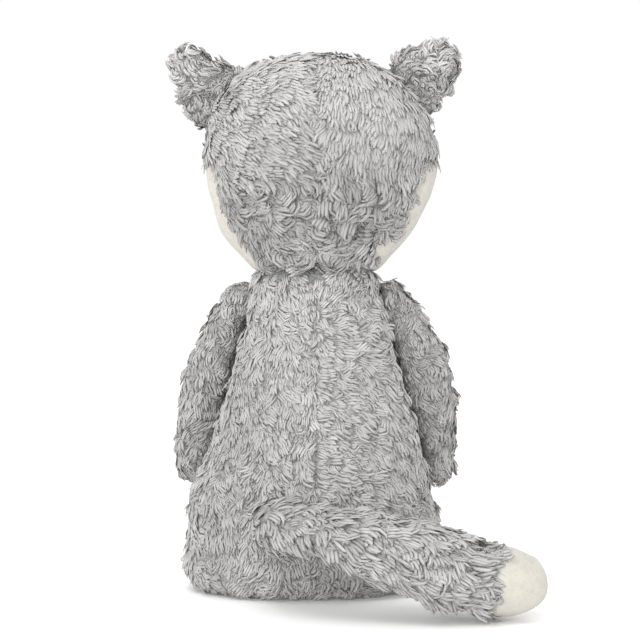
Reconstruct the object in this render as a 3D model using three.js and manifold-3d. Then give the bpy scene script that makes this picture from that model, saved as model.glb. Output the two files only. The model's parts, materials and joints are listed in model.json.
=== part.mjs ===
// A seated plush fox, sewn from fabric panels over loose stuffing, in millimetres with +Z up.
// The origin is on the floor at the middle of the seat. The fox faces -Y and its left side is +X.
// Each stuffed part is a form that swells and tapers along a spine. Its cover is the shell between
// that form and the same form drawn in by the fabric's thickness, cut into panels along the seams.

import * as THREE from "three";
import { mergeVertices } from "three/addons/utils/BufferGeometryUtils.js";
import Module from "manifold-3d";

const wasm = await Module();
wasm.setup();

// Fabric, seams and running gaps
const PLUSH = 5; // long-pile fabric with its pile laid down
const SEAM_GAP = 0.3; // between two panels that are sewn edge to edge
const STUFFING_GAP = 0.3; // between a cover and its stuffing
const TURNING_GAP = 0.4; // between a limb and what it turns against
const OVERRUN = 500; // how far a cutting block runs past what it cuts

// Torso
const TORSO_HEIGHT = 200;
const TORSO_WIDTH = 160;
const TORSO_DEPTH = 132;
const NECK_HEIGHT = 190; // where the head's lower edge shows
const NECK_CAP = 16; // length of the rounding at the top of the torso
const NECK_OPENING_RADIUS = 27;
const SEAT_SEAM_HEIGHT = 5; // the base panel ends this high

// Head
const HEAD_HEIGHT = 140;
const HEAD_WIDTH = 142;
const HEAD_DEPTH = 114;
const HEAD_TUCK = 8; // how far the head's form starts below the neck line
const CROWN_CAP = 60;
const CHEEK_TOP_HEIGHT = 257; // top of the cream cheek at the side of the head
const CHEEK_BACK = 22; // the cheeks wrap this far behind the middle of the head
const MASK_POINT_HALF_WIDTH = 8;
const MASK_POINT_RISE = 10; // how far above the middle of the muzzle the grey mask ends

// Muzzle and nose
const MUZZLE_LENGTH = 60; // from inside the head to the tip
const MUZZLE_REACH = 28; // how far it stands out of the face
const MUZZLE_WIDTH = 48;
const MUZZLE_DEPTH = 34;
const MUZZLE_HEIGHT = 222;
const MUZZLE_DROP = 5;
const MUZZLE_CAP = 10;
const NOSE_WIDTH = 19;
const NOSE_HEIGHT = 13;
const NOSE_THICKNESS = 11;

// Safety eyes
const EYE_RADIUS = 5.5;
const EYE_DOME = 4;
const EYE_SHANK_RADIUS = 2;
const EYE_SHANK_LENGTH = 12;
const EYE_SINK = 1.4; // how far the cap and the washer each press into the fabric
const EYE_SEAT_GAP = 0.3;
const WASHER_RADIUS = 6.5;
const WASHER_THICKNESS = 1.6;
const SHANK_CLEARANCE = 0.25;
const EYE_PLACE_SHARE = 0.33; // of the cheek's upper seam, from the muzzle
const EYE_ABOVE_SEAM = 9;

// Ears
const EAR_LENGTH = 39; // from the seam on the head to the tip
const EAR_WIDTH = 43;
const EAR_THICKNESS = 17;
const EAR_TUCK = 13;
const EAR_CAP = 13;
const EAR_HEIGHT = 293;
const EAR_LEAN = 42; // degrees outwards from upright
const EAR_FLOP = 15; // degrees each way
const EAR_STEP = 7.5; // degrees between the poses that an ear is kept clear at

// Arms
const ARM_LENGTH = 118;
const ARM_RADIUS = 15.5;
const ARM_TUCK = 10;
const SHOULDER_HEIGHT = 171;
const SHOULDER_TURN = 10; // degrees in front of the side seam
const ARM_OUTWARD_TILT = 12; // degrees that the shoulder seam's face leans up
const ARM_BACK_SWING = -20; // degrees
const ARM_FORWARD_SWING = 90;
const SHOULDER_GAP = 1.5; // between the arm's flat root and the middle of the shoulder
const BACK_STEP = 10; // degrees between the poses that an arm is kept clear at

// Legs
const LEG_LENGTH = 88;
const LEG_RADIUS = 21;
const LEG_SPREAD = 36; // from the middle of the fox to a hip
const HIP_TUCK = 4;
const HIP_OFFSET = 15; // the hip turns about a line this far in front of the belly
const FOOT_CAP = 15;
const SOLE_DEPTH = 8;
const LEG_DROP = -40; // degrees
const LEG_LIFT = 50;
const SEWING_SLOT_RADIUS = 9; // the open end of a cover where it is sewn on

// Tail
const TAIL_REACH = 128; // sideways, from the middle of the fox to the tip
const TAIL_BACK = 47; // how far its middle lies behind the torso
const TAIL_RADIUS = 27;
const TAIL_ROOT_CAP = 16;
const TAIL_TIP_CAP = 30;
const TAIL_HINGE_OFFSET = 16;
const TAIL_TIP_SHARE = 0.83; // the cream tip starts at this share of the tail's length
const TAIL_SWING_IN = -5; // degrees
const TAIL_SWING_OUT = 100;

// Resolution
const MERGE_DISTANCE = 1e-4; // points closer than this are one
const SLOPE_STEP = 0.01; // as an angle round a form and as a share along it
const ROUND_SIDES = 12; // of holes, shanks, washers and the nose
const NOSE_RINGS = 8;
const DOME_STEPS = 4;
const CHEEK_SEAM_STEPS = 4;
const TURN_STEP = 20; // degrees between the poses that a limb is kept clear at
const NOD_STEP = 12.5;
const NOD_BACK = -10;
const NOD_FORWARD = 15;

const LEFT = 1;
const RIGHT = -1;
const X_AXIS = new THREE.Vector3(1, 0, 0);
const Y_AXIS = new THREE.Vector3(0, 1, 0);
const Z_AXIS = new THREE.Vector3(0, 0, 1);

// A smooth value at a place, through [place, value] pairs in order.
function smoothShare(pairs, place) {
  let i = 0;
  while (i < pairs.length - 2 && place > pairs[i + 1][0]) i += 1;
  const slopeAt = (k) => {
    const before = pairs[Math.max(k - 1, 0)];
    const after = pairs[Math.min(k + 1, pairs.length - 1)];
    return (after[1] - before[1]) / (after[0] - before[0]);
  };
  const [x0, y0] = pairs[i];
  const [x1, y1] = pairs[i + 1];
  const span = x1 - x0;
  const t = THREE.MathUtils.clamp((place - x0) / span, 0, 1);
  const rise = y1 - y0;
  const bendIn = slopeAt(i) * span - rise;
  const bendOut = rise - slopeAt(i + 1) * span;
  return y0 + t * rise + t * (1 - t) * ((1 - t) * bendIn + t * bendOut);
}

// How much of its full size a rounded end has at a distance from its tip.
function rounding(distance, length, power) {
  if (distance >= length) return 1;
  if (distance < MERGE_DISTANCE) return 0;
  return (1 - (1 - distance / length) ** power) ** (1 / power);
}

// Triangles between rows of points, which face out where the rows turn left round their direction.
function gridTriangles(rows) {
  const triangles = [];
  for (let i = 0; i < rows.length - 1; i += 1) {
    for (let j = 0; j < rows[i].length - 1; j += 1) {
      triangles.push([rows[i][j], rows[i][j + 1], rows[i + 1][j + 1]]);
      triangles.push([rows[i][j], rows[i + 1][j + 1], rows[i + 1][j]]);
    }
  }
  return triangles;
}

function flipped(triangles) {
  return triangles.map(([a, b, c]) => [b, a, c]);
}

function middle(points) {
  return points.reduce((sum, p) => sum.add(p), new THREE.Vector3()).divideScalar(points.length);
}

// A closed form with oval sections along a bent spine. An end with a cap length is rounded to a
// point there, and an end with none is flat.
class SwellingForm {
  constructor({ points, across, halfWidth, halfDepth, widthShares, depthShares, ...rest }) {
    this.spine = new THREE.CatmullRomCurve3(points, false, "centripetal");
    this.length = this.spine.getLength();
    this.across = across;
    this.halfWidth = halfWidth;
    this.halfDepth = halfDepth;
    this.widthShares = widthShares;
    this.depthShares = depthShares ?? widthShares;
    this.startCap = rest.startCap ?? 0;
    this.endCap = rest.endCap;
    this.power = rest.power ?? 2;
    this.sides = rest.sides;
    this.rings = rest.rings;
  }

  // The spine's place and directions at a share of its length. It runs on straight past its ends.
  frameAt(share) {
    const inside = THREE.MathUtils.clamp(share, 0, 1);
    const along = this.spine.getTangentAt(inside);
    const wide = this.across.clone().addScaledVector(along, -this.across.dot(along)).normalize();
    const deep = along.clone().cross(wide);
    const centre = this.spine.getPointAt(inside)
      .addScaledVector(along, (share - inside) * this.length);
    return { centre, along, wide, deep };
  }

  // Half width and half depth of the section at a share of the length, drawn in by an inset.
  sectionAt(share, inset = 0) {
    const distance = share * this.length;
    const start = this.startCap ? rounding(distance - inset, this.startCap - inset, this.power) : 1;
    const end = rounding(this.length - distance - inset, this.endCap - inset, this.power);
    return {
      width: (this.halfWidth * smoothShare(this.widthShares, share) - inset) * start * end,
      depth: (this.halfDepth * smoothShare(this.depthShares, share) - inset) * start * end,
    };
  }

  // The point at an angle round the section, from the across direction.
  point(angle, share, inset = 0) {
    const { centre, wide, deep } = this.frameAt(share);
    const { width, depth } = this.sectionAt(share, inset);
    return centre
      .addScaledVector(wide, width * Math.cos(angle))
      .addScaledVector(deep, depth * Math.sin(angle));
  }

  // The direction out of the surface at an angle and a share.
  normal(angle, share) {
    const slope = (turn, move) => this.point(angle + turn, share + move)
      .sub(this.point(angle - turn, share - move));
    return slope(SLOPE_STEP, 0).cross(slope(0, SLOPE_STEP)).normalize();
  }

  // Rows of points from the start to the end, at angles round the sections. A row can be shifted
  // towards an angle of its own section, by the same distance at every row.
  rows(angles, inset, shift = 0, shiftAngle = 0) {
    const first = inset / this.length;
    return Array.from({ length: this.rings + 1 }, (_, i) => {
      const share = first + ((1 - 2 * first) * (1 - Math.cos((Math.PI * i) / this.rings))) / 2;
      const { wide, deep } = this.frameAt(share);
      const step = wide.multiplyScalar(shift * Math.cos(shiftAngle))
        .addScaledVector(deep, shift * Math.sin(shiftAngle));
      return angles.map((angle) => this.point(angle, share, inset).add(step));
    });
  }

  // The whole form as a solid, drawn in by an inset or grown by a negative one.
  solid(inset = 0, sides = this.sides) {
    const angles = Array.from({ length: sides + 1 }, (_, j) => (2 * Math.PI * (j % sides)) / sides);
    const rows = this.rows(angles, inset);
    const triangles = gridTriangles(rows);
    if (!this.startCap) {
      const centre = Array(sides + 1).fill(middle(rows[0]));
      triangles.push(...gridTriangles([centre, rows[0]]));
    }
    return solidOf(triangles);
  }

  // One panel of the cover, whose seams run along the spine at each side of its middle angle.
  panel(thickness, middleAngle, span = Math.PI) {
    const count = Math.round((this.sides * span) / (2 * Math.PI));
    const angles = Array.from({ length: count + 1 }, (_, j) => middleAngle + span * (j / count - 1 / 2));
    const shift = SEAM_GAP / 2 / Math.sin(span / 2);
    const [outside, inside] = [0, thickness].map((inset) => {
      return this.rows(angles, inset, shift, middleAngle);
    });
    const edge = (rows, j) => rows.map((row) => row[j]);
    return solidOf([
      ...gridTriangles(outside),
      ...flipped(gridTriangles(inside)),
      ...gridTriangles([edge(outside, 0), edge(inside, 0)]),
      ...flipped(gridTriangles([edge(outside, count), edge(inside, count)])),
      ...gridTriangles([inside[0], outside[0]]),
      ...gridTriangles([outside[this.rings], inside[this.rings]]),
    ]);
  }

  // The whole cover in one piece.
  shell(thickness) {
    return this.solid().subtract(this.solid(thickness));
  }

  // The stuffing has half the sides, each on a side of the cover's lining.
  stuffing(thickness) {
    return this.solid(thickness + STUFFING_GAP, this.sides / 2);
  }
}

// A solid from a closed geometry.
function solidFrom(geometry) {
  const bare = geometry.clone();
  bare.deleteAttribute("normal");
  bare.deleteAttribute("uv");
  const merged = mergeVertices(bare, MERGE_DISTANCE);
  return new wasm.Manifold(
    new wasm.Mesh({
      numProp: 3,
      vertProperties: merged.attributes.position.array,
      triVerts: new Uint32Array(merged.index.array),
    }),
  );
}

// A solid from triangles of points, without those that a pole shrinks to nothing.
function solidOf(triangles) {
  const geometry = new THREE.BufferGeometry().setFromPoints(triangles.flat());
  const merged = mergeVertices(geometry, MERGE_DISTANCE);
  const corners = Array.from(merged.index.array);
  const kept = [];
  for (let k = 0; k < corners.length; k += 3) {
    const [a, b, c] = corners.slice(k, k + 3);
    if (a !== b && b !== c && c !== a) kept.push(a, b, c);
  }
  merged.setIndex(kept);
  return solidFrom(merged);
}

function geometryFrom(solid) {
  const mesh = solid.getMesh();
  const positions = new Float32Array(mesh.numVert * 3);
  for (let i = 0; i < mesh.numVert; i += 1) {
    const start = i * mesh.numProp;
    positions.set(mesh.vertProperties.subarray(start, start + 3), i * 3);
  }
  const geometry = new THREE.BufferGeometry();
  geometry.setAttribute("position", new THREE.BufferAttribute(positions, 3));
  geometry.setIndex(new THREE.BufferAttribute(new Uint32Array(mesh.triVerts), 1));
  geometry.computeVertexNormals();
  return geometry;
}

// A block that fills the side of a plane that its normal points to.
function halfSpace(point, normal) {
  const reach = 2 * OVERRUN;
  const geometry = new THREE.BoxGeometry(reach, reach, reach);
  geometry.translate(0, 0, reach / 2);
  geometry.applyQuaternion(new THREE.Quaternion().setFromUnitVectors(Z_AXIS, normal));
  return solidFrom(geometry.translate(point.x, point.y, point.z));
}

// A round bar from a point along a direction, for holes.
function bar(point, direction, radius, length) {
  const geometry = new THREE.CylinderGeometry(radius, radius, length, ROUND_SIDES);
  geometry.translate(0, length / 2, 0);
  geometry.applyQuaternion(new THREE.Quaternion().setFromUnitVectors(Y_AXIS, direction));
  return solidFrom(geometry.translate(point.x, point.y, point.z));
}

function turned(solid, hinge, degrees) {
  const matrix = new THREE.Matrix4()
    .makeTranslation(hinge.point.x, hinge.point.y, hinge.point.z)
    .multiply(new THREE.Matrix4().makeRotationAxis(hinge.axis, THREE.MathUtils.degToRad(degrees)))
    .multiply(
      new THREE.Matrix4().makeTranslation(-hinge.point.x, -hinge.point.y, -hinge.point.z),
    );
  return solid.transform(matrix.elements);
}

// Keeps a hinged piece clear of a fixed one through the whole range of its hinge.
function cutByTurns(piece, fixed, hinge, step = TURN_STEP) {
  const turns = Math.ceil((hinge.to - hinge.from) / step);
  let left = piece;
  for (let k = 0; k <= turns; k += 1) {
    const degrees = THREE.MathUtils.lerp(hinge.from, hinge.to, k / turns);
    left = left.subtract(turned(fixed, hinge, -degrees));
  }
  return left;
}

// The largest body of a cut solid, without the slivers that a cut leaves beside it.
function biggest(solid) {
  return solid.decompose().reduce((best, body) => (body.volume() > best.volume() ? body : best));
}

// The two sides of a solid that a seam parts.
function partedAt(solid, point, normal) {
  const without = (direction) => {
    const edge = point.clone().addScaledVector(direction, -SEAM_GAP / 2);
    return biggest(solid.subtract(halfSpace(edge, direction)));
  };
  return { far: without(normal.clone().negate()), near: without(normal) };
}

// The scene graph: one group for each piece that turns, placed at its hinge.

const materials = {
  greyPlush: new THREE.MeshStandardMaterial({ color: 0xb4b4b6, roughness: 1, metalness: 0 }),
  creamPlush: new THREE.MeshStandardMaterial({ color: 0xe9e5d8, roughness: 1, metalness: 0 }),
  fibreFill: new THREE.MeshStandardMaterial({ color: 0xf4f4f2, roughness: 1, metalness: 0 }),
  blackPlastic: new THREE.MeshStandardMaterial({ color: 0x0c0c0e, roughness: 0.15, metalness: 0 }),
  whitePlastic: new THREE.MeshStandardMaterial({ color: 0xe8e8e8, roughness: 0.5, metalness: 0 }),
  darkThread: new THREE.MeshStandardMaterial({ color: 0x2a2624, roughness: 0.8, metalness: 0 }),
};

const fox = new THREE.Group();

function groupAt(point, parent = fox) {
  const group = new THREE.Group();
  group.position.copy(point);
  group.userData.place = point.clone();
  parent.attach(group);
  return group;
}

// Adds a piece whose solid is in the fox's frame to the group that carries it.
function addPiece(name, solid, material, group = fox) {
  const place = group.userData.place ?? new THREE.Vector3();
  const geometry = geometryFrom(solid).translate(-place.x, -place.y, -place.z);
  const mesh = new THREE.Mesh(geometry, material);
  mesh.name = name;
  group.add(mesh);
  return mesh;
}

function sideName(side) {
  return side === LEFT ? "left" : "right";
}

// Torso: a bell on a flat oval base, with a seam up each side and one up the middle of the back

const torsoWidthShares = [
  [0, 0.8], [0.012, 0.88], [0.04, 0.95], [0.1, 1], [0.18, 0.985], [0.305, 0.93], [0.415, 0.83],
  [0.58, 0.705], [0.715, 0.585], [0.805, 0.52], [0.9, 0.49], [1, 0.47],
];
const torsoDepthShares = [
  [0, 0.79], [0.012, 0.87], [0.04, 0.94], [0.1, 1], [0.18, 1], [0.305, 0.97], [0.415, 0.9],
  [0.58, 0.78], [0.715, 0.67], [0.805, 0.61], [0.9, 0.57], [1, 0.55],
];

const torsoForm = new SwellingForm({
  points: [new THREE.Vector3(), new THREE.Vector3(0, 0, TORSO_HEIGHT)],
  across: X_AXIS,
  halfWidth: TORSO_WIDTH / 2,
  halfDepth: TORSO_DEPTH / 2,
  widthShares: torsoWidthShares,
  depthShares: torsoDepthShares,
  endCap: NECK_CAP,
  sides: 20,
  rings: 10,
});
const torsoKeepOut = torsoForm.solid(-TURNING_GAP);

function buildTorso() {
  const neck = new THREE.Vector3(0, 0, TORSO_HEIGHT - NECK_CAP);
  const opening = bar(neck, Z_AXIS, NECK_OPENING_RADIUS, OVERRUN);
  const seam = new THREE.Vector3(0, 0, SEAT_SEAM_HEIGHT - SEAM_GAP / 2);
  const sides = [
    ["front", -Math.PI / 2, Math.PI],
    ["back_left", Math.PI / 4, Math.PI / 2],
    ["back_right", (3 * Math.PI) / 4, Math.PI / 2],
  ];
  const base = partedAt(torsoForm.shell(PLUSH), seam, Z_AXIS).near;
  addPiece("torso_base_panel", base, materials.greyPlush);
  for (const [face, angle, span] of sides) {
    const panel = torsoForm.panel(PLUSH, angle, span).subtract(opening);
    addPiece(`torso_${face}_panel`, partedAt(panel, seam, Z_AXIS).far, materials.greyPlush);
  }
  addPiece("torso_stuffing", torsoForm.stuffing(PLUSH), materials.fibreFill);
}

// Head: wide at the cheekbones and drawn in to the neck, with a grey back, mask and crown

const headBase = NECK_HEIGHT - HEAD_TUCK;
const headWidthShares = [
  [0, 0.5], [0.057, 0.545], [0.1, 0.565], [0.193, 0.7], [0.293, 0.83], [0.43, 0.95],
  [0.571, 1], [1, 1],
];
const headDepthShares = [
  [0, 0.62], [0.057, 0.66], [0.1, 0.69], [0.193, 0.8], [0.293, 0.9], [0.43, 0.975],
  [0.571, 1], [1, 1],
];

const headForm = new SwellingForm({
  points: [new THREE.Vector3(0, 0, headBase), new THREE.Vector3(0, 0, headBase + HEAD_HEIGHT)],
  across: X_AXIS,
  halfWidth: HEAD_WIDTH / 2,
  halfDepth: HEAD_DEPTH / 2,
  widthShares: headWidthShares,
  depthShares: headDepthShares,
  endCap: CROWN_CAP,
  power: 2.25,
  sides: 20,
  rings: 9,
});

const neckHinge = {
  point: new THREE.Vector3(0, 0, headBase),
  axis: X_AXIS,
  from: NOD_BACK,
  to: NOD_FORWARD,
};

// The upper seam of a cheek, in the front view: it rises from the muzzle to the side of the head.
// Its bend is placed across as a share of the head's half width and up as a share of its rise.
const cheekBendShares = [0.4, 0.66];
const maskPointHeight = MUZZLE_HEIGHT + MASK_POINT_RISE;
const cheekSeam = new THREE.QuadraticBezierCurve(
  new THREE.Vector2(MASK_POINT_HALF_WIDTH, maskPointHeight),
  new THREE.Vector2(
    (cheekBendShares[0] * HEAD_WIDTH) / 2,
    THREE.MathUtils.lerp(maskPointHeight, CHEEK_TOP_HEIGHT, cheekBendShares[1]),
  ),
  new THREE.Vector2(HEAD_WIDTH / 2, CHEEK_TOP_HEIGHT),
);

// The region of one cream cheek, below its seam, grown by a margin for what it is cut out of.
function cheekRegion(side, margin) {
  const inner = SEAM_GAP / 2 - margin;
  const low = headBase - HEAD_HEIGHT;
  const seam = cheekSeam.getPoints(CHEEK_SEAM_STEPS).map((p) => p.setY(p.y + margin));
  const [start, end] = [seam[0], seam[seam.length - 1]];
  const outline = new THREE.Shape([
    new THREE.Vector2(inner, low),
    new THREE.Vector2(inner, start.y),
    ...seam,
    new THREE.Vector2(HEAD_WIDTH, end.y),
    new THREE.Vector2(HEAD_WIDTH, low),
  ]);
  const geometry = new THREE.ExtrudeGeometry(outline, { depth: OVERRUN, bevelEnabled: false });
  geometry.rotateX(Math.PI / 2);
  const region = solidFrom(geometry.translate(0, CHEEK_BACK + margin, 0));
  return side === LEFT ? region : region.transform(new THREE.Matrix4().makeScale(-1, 1, 1).elements);
}

// The head's surface at a height, at a distance across from the middle of the face.
function facePlace(across, height) {
  const share = (height - headBase) / HEAD_HEIGHT;
  const angle = -Math.acos(across / headForm.sectionAt(share).width);
  return { point: headForm.point(angle, share), normal: headForm.normal(angle, share) };
}

// What an eye needs cut out of the mask: a seat for its cap, its shank's hole and a washer's seat.
function eyeHole({ point, normal }) {
  const inwards = normal.clone().negate();
  const beneath = (depth) => point.clone().addScaledVector(inwards, depth);
  return bar(beneath(-EYE_DOME), inwards, EYE_RADIUS + EYE_SEAT_GAP, EYE_DOME + EYE_SINK)
    .add(bar(point, inwards, EYE_SHANK_RADIUS + SHANK_CLEARANCE, 2 * PLUSH))
    .add(bar(beneath(PLUSH - EYE_SINK), inwards, WASHER_RADIUS + EYE_SEAT_GAP, EYE_SHANK_LENGTH));
}

function eyePocket({ point, normal }) {
  const depth = EYE_SINK + EYE_SHANK_LENGTH;
  return bar(point, normal.clone().negate(), WASHER_RADIUS + STUFFING_GAP, depth);
}

function buildHead() {
  const head = groupAt(neckHinge.point);
  const brow = cheekSeam.getPoint(EYE_PLACE_SHARE);
  const eyes = [LEFT, RIGHT].map((side) => {
    return { side, ...facePlace(side * brow.x, brow.y + EYE_ABOVE_SEAM) };
  });
  const opening = bar(
    neckHinge.point.clone().addScaledVector(Z_AXIS, -OVERRUN / 2), Z_AXIS, NECK_OPENING_RADIUS,
    OVERRUN / 2 + HEAD_TUCK + NECK_CAP,
  );
  const clear = (solid) => cutByTurns(solid.subtract(opening), torsoKeepOut, neckHinge, NOD_STEP);
  const greys = [
    ["mask", -Math.PI / 2, Math.PI],
    ["back_left", Math.PI / 4, Math.PI / 2],
    ["back_right", (3 * Math.PI) / 4, Math.PI / 2],
  ];
  for (const [face, angle, span] of greys) {
    let panel = clear(headForm.panel(PLUSH, angle, span));
    for (const side of [LEFT, RIGHT]) panel = panel.subtract(cheekRegion(side, SEAM_GAP));
    if (face === "mask") for (const eye of eyes) panel = panel.subtract(eyeHole(eye));
    addPiece(`head_${face}_panel`, biggest(panel), materials.greyPlush, head);
  }
  const cover = clear(headForm.shell(PLUSH));
  for (const side of [LEFT, RIGHT]) {
    const cheek = biggest(cover.intersect(cheekRegion(side, 0)));
    addPiece(`cheek_${sideName(side)}_panel`, cheek, materials.creamPlush, head);
  }
  let fill = clear(headForm.stuffing(PLUSH));
  for (const eye of eyes) fill = fill.subtract(eyePocket(eye));
  addPiece("head_stuffing", biggest(fill), materials.fibreFill, head);
  buildMuzzle(head);
  eyes.forEach((eye) => buildEye(head, eye));
  [LEFT, RIGHT].forEach((side) => buildEar(head, side));
}

// Muzzle: a short cone on the face, grey above and cream below, with a padded nose on its tip

function buildMuzzle(head) {
  const tip = -HEAD_DEPTH / 2 - MUZZLE_REACH;
  const form = new SwellingForm({
    points: [
      new THREE.Vector3(0, tip + MUZZLE_LENGTH, MUZZLE_HEIGHT),
      new THREE.Vector3(0, tip + MUZZLE_LENGTH / 2, MUZZLE_HEIGHT - MUZZLE_DROP / 4),
      new THREE.Vector3(0, tip, MUZZLE_HEIGHT - MUZZLE_DROP),
    ],
    across: X_AXIS,
    halfWidth: MUZZLE_WIDTH / 2,
    halfDepth: MUZZLE_DEPTH / 2,
    widthShares: [[0, 1], [0.45, 0.92], [0.75, 0.66], [1, 0.5]],
    depthShares: [[0, 1], [0.45, 0.95], [0.75, 0.78], [1, 0.66]],
    endCap: MUZZLE_CAP,
    sides: 12,
    rings: 5,
  });
  const face = headForm.solid(-SEAM_GAP);
  const top = biggest(form.panel(PLUSH, Math.PI / 2).subtract(face));
  const chin = biggest(form.panel(PLUSH, -Math.PI / 2).subtract(face));
  const fill = biggest(form.stuffing(PLUSH).subtract(face));
  addPiece("muzzle_top_panel", top, materials.greyPlush, head);
  addPiece("muzzle_chin_panel", chin, materials.creamPlush, head);
  addPiece("muzzle_stuffing", fill, materials.fibreFill, head);

  const pad = new THREE.SphereGeometry(1, ROUND_SIDES, NOSE_RINGS);
  pad.scale(NOSE_WIDTH / 2, NOSE_THICKNESS / 2, NOSE_HEIGHT / 2);
  pad.translate(0, tip + NOSE_THICKNESS / 8, MUZZLE_HEIGHT - MUZZLE_DROP / 2);
  const nose = solidFrom(pad).subtract(form.solid(-SEAM_GAP));
  addPiece("nose", biggest(nose), materials.darkThread, head);
}

// A safety eye: a domed cap on a shank that a washer locks behind the fabric

function turnedPiece(outline, place, direction) {
  const geometry = new THREE.LatheGeometry(outline, ROUND_SIDES);
  geometry.applyQuaternion(new THREE.Quaternion().setFromUnitVectors(Y_AXIS, direction));
  return solidFrom(geometry.translate(place.x, place.y, place.z));
}

function buildEye(head, { side, point, normal }) {
  const outline = [
    new THREE.Vector2(0, -EYE_SHANK_LENGTH),
    new THREE.Vector2(EYE_SHANK_RADIUS, -EYE_SHANK_LENGTH),
    new THREE.Vector2(EYE_SHANK_RADIUS, 0),
  ];
  for (let k = 0; k < DOME_STEPS; k += 1) {
    const angle = (Math.PI / 2) * (k / DOME_STEPS);
    outline.push(new THREE.Vector2(EYE_RADIUS * Math.cos(angle), EYE_DOME * Math.sin(angle)));
  }
  outline.push(new THREE.Vector2(0, EYE_DOME));
  const seat = point.clone().addScaledVector(normal, EYE_SEAT_GAP - EYE_SINK);
  addPiece(`eye_${sideName(side)}`, turnedPiece(outline, seat, normal), materials.blackPlastic, head);

  const bore = EYE_SHANK_RADIUS + SHANK_CLEARANCE;
  const ring = [
    new THREE.Vector2(bore, 0),
    new THREE.Vector2(WASHER_RADIUS, 0),
    new THREE.Vector2(WASHER_RADIUS, WASHER_THICKNESS),
    new THREE.Vector2(bore, WASHER_THICKNESS),
    new THREE.Vector2(bore, 0),
  ];
  const depth = PLUSH - EYE_SINK + EYE_SEAT_GAP + WASHER_THICKNESS;
  const behind = point.clone().addScaledVector(normal, -depth);
  addPiece(
    `eye_${sideName(side)}_washer`, turnedPiece(ring, behind, normal), materials.whitePlastic, head,
  );
}

// Ears: two layers of plush sewn round the edge, flat at the seam in the crown

function buildEar(head, side) {
  const share = (EAR_HEIGHT - headBase) / HEAD_HEIGHT;
  const root = new THREE.Vector3(side * headForm.sectionAt(share).width, 0, EAR_HEIGHT);
  const lean = THREE.MathUtils.degToRad(EAR_LEAN);
  const up = new THREE.Vector3(side * Math.sin(lean), 0, Math.cos(lean));
  const chord = new THREE.Vector3(Math.cos(lean), 0, -side * Math.sin(lean));
  const form = new SwellingForm({
    points: [
      root.clone().addScaledVector(up, -EAR_TUCK),
      root.clone().addScaledVector(up, EAR_LENGTH),
    ],
    across: chord,
    halfWidth: EAR_WIDTH / 2,
    halfDepth: EAR_THICKNESS / 2,
    widthShares: [[0, 1], [0.3, 1], [0.5, 0.93], [0.8, 0.72], [1, 0.55]],
    depthShares: [[0, 0.7], [0.25, 0.75], [0.5, 0.95], [0.8, 1], [1, 0.9]],
    endCap: EAR_CAP,
    sides: 12,
    rings: 6,
  });
  const hinge = { point: root, axis: chord, from: -EAR_FLOP, to: EAR_FLOP };
  const headKeepOut = headForm.solid(-TURNING_GAP);
  const ear = cutByTurns(form.solid(), headKeepOut, hinge, EAR_STEP);
  const layers = partedAt(ear, root, Y_AXIS);
  const group = groupAt(root, head);
  addPiece(`ear_${sideName(side)}_back_panel`, layers.far, materials.greyPlush, group);
  addPiece(`ear_${sideName(side)}_front_panel`, layers.near, materials.greyPlush, group);
}

// Arms: hung from the shoulders, bowed outwards, with a seam down the front and back halves

function shoulderOf(side) {
  const turn = THREE.MathUtils.degToRad(SHOULDER_TURN);
  const tilt = THREE.MathUtils.degToRad(ARM_OUTWARD_TILT);
  const seat = torsoForm.point(-turn, SHOULDER_HEIGHT / TORSO_HEIGHT);
  const mirrored = (x, y, z) => new THREE.Vector3(side * x, y, z);
  return {
    seat: mirrored(seat.x, seat.y, seat.z),
    outward: mirrored(
      Math.cos(tilt) * Math.cos(turn), -Math.cos(tilt) * Math.sin(turn), Math.sin(tilt),
    ),
    down: mirrored(
      Math.sin(tilt) * Math.cos(turn), -Math.sin(tilt) * Math.sin(turn), -Math.cos(tilt),
    ),
    forward: mirrored(-Math.sin(turn), -Math.cos(turn), 0),
  };
}

// Places along the arm: outwards as shares of its radius, down and forward as shares of its length.
const armPlaceShares = [
  [0.4, 0.01, 0.01], [0.95, 0.14, 0.035], [1.08, 0.38, 0.08], [1.05, 0.65, 0.14], [0.85, 0.97, 0.2],
];

function buildArm(side) {
  const { seat, outward, down, forward } = shoulderOf(side);
  const places = armPlaceShares.map(([out, below, ahead]) => seat.clone()
    .addScaledVector(outward, out * ARM_RADIUS)
    .addScaledVector(down, below * ARM_LENGTH)
    .addScaledVector(forward, ahead * ARM_LENGTH));
  const form = new SwellingForm({
    points: [seat.clone().addScaledVector(outward, -ARM_TUCK), ...places],
    across: forward,
    halfWidth: ARM_RADIUS,
    halfDepth: ARM_RADIUS,
    widthShares: [[0, 0.85], [0.12, 0.9], [0.3, 1], [0.6, 1.02], [0.85, 0.95], [1, 0.85]],
    startCap: ARM_TUCK,
    endCap: ARM_RADIUS,
    sides: 12,
    rings: 7,
  });
  const inward = outward.clone().negate();
  const hinge = {
    point: seat,
    axis: side === LEFT ? inward : outward,
    from: ARM_BACK_SWING,
    to: ARM_FORWARD_SWING,
  };
  // The root is flat where it turns on the shoulder, and the inside is hollowed to pass the torso.
  const root = halfSpace(seat.clone().addScaledVector(outward, SHOULDER_GAP), inward);
  const backwards = { ...hinge, to: 0 };
  const clear = (solid) => cutByTurns(solid.subtract(root), torsoKeepOut, backwards, BACK_STEP);
  const group = groupAt(seat);
  for (const [face, angle] of [["front", 0], ["back", Math.PI]]) {
    const half = biggest(clear(form.panel(PLUSH, angle)));
    addPiece(`arm_${sideName(side)}_${face}_panel`, half, materials.greyPlush, group);
  }
  const fill = clear(form.stuffing(PLUSH));
  addPiece(`arm_${sideName(side)}_stuffing`, biggest(fill), materials.fibreFill, group);
}

// Legs: stretched forward on the floor with the feet turned up

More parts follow.
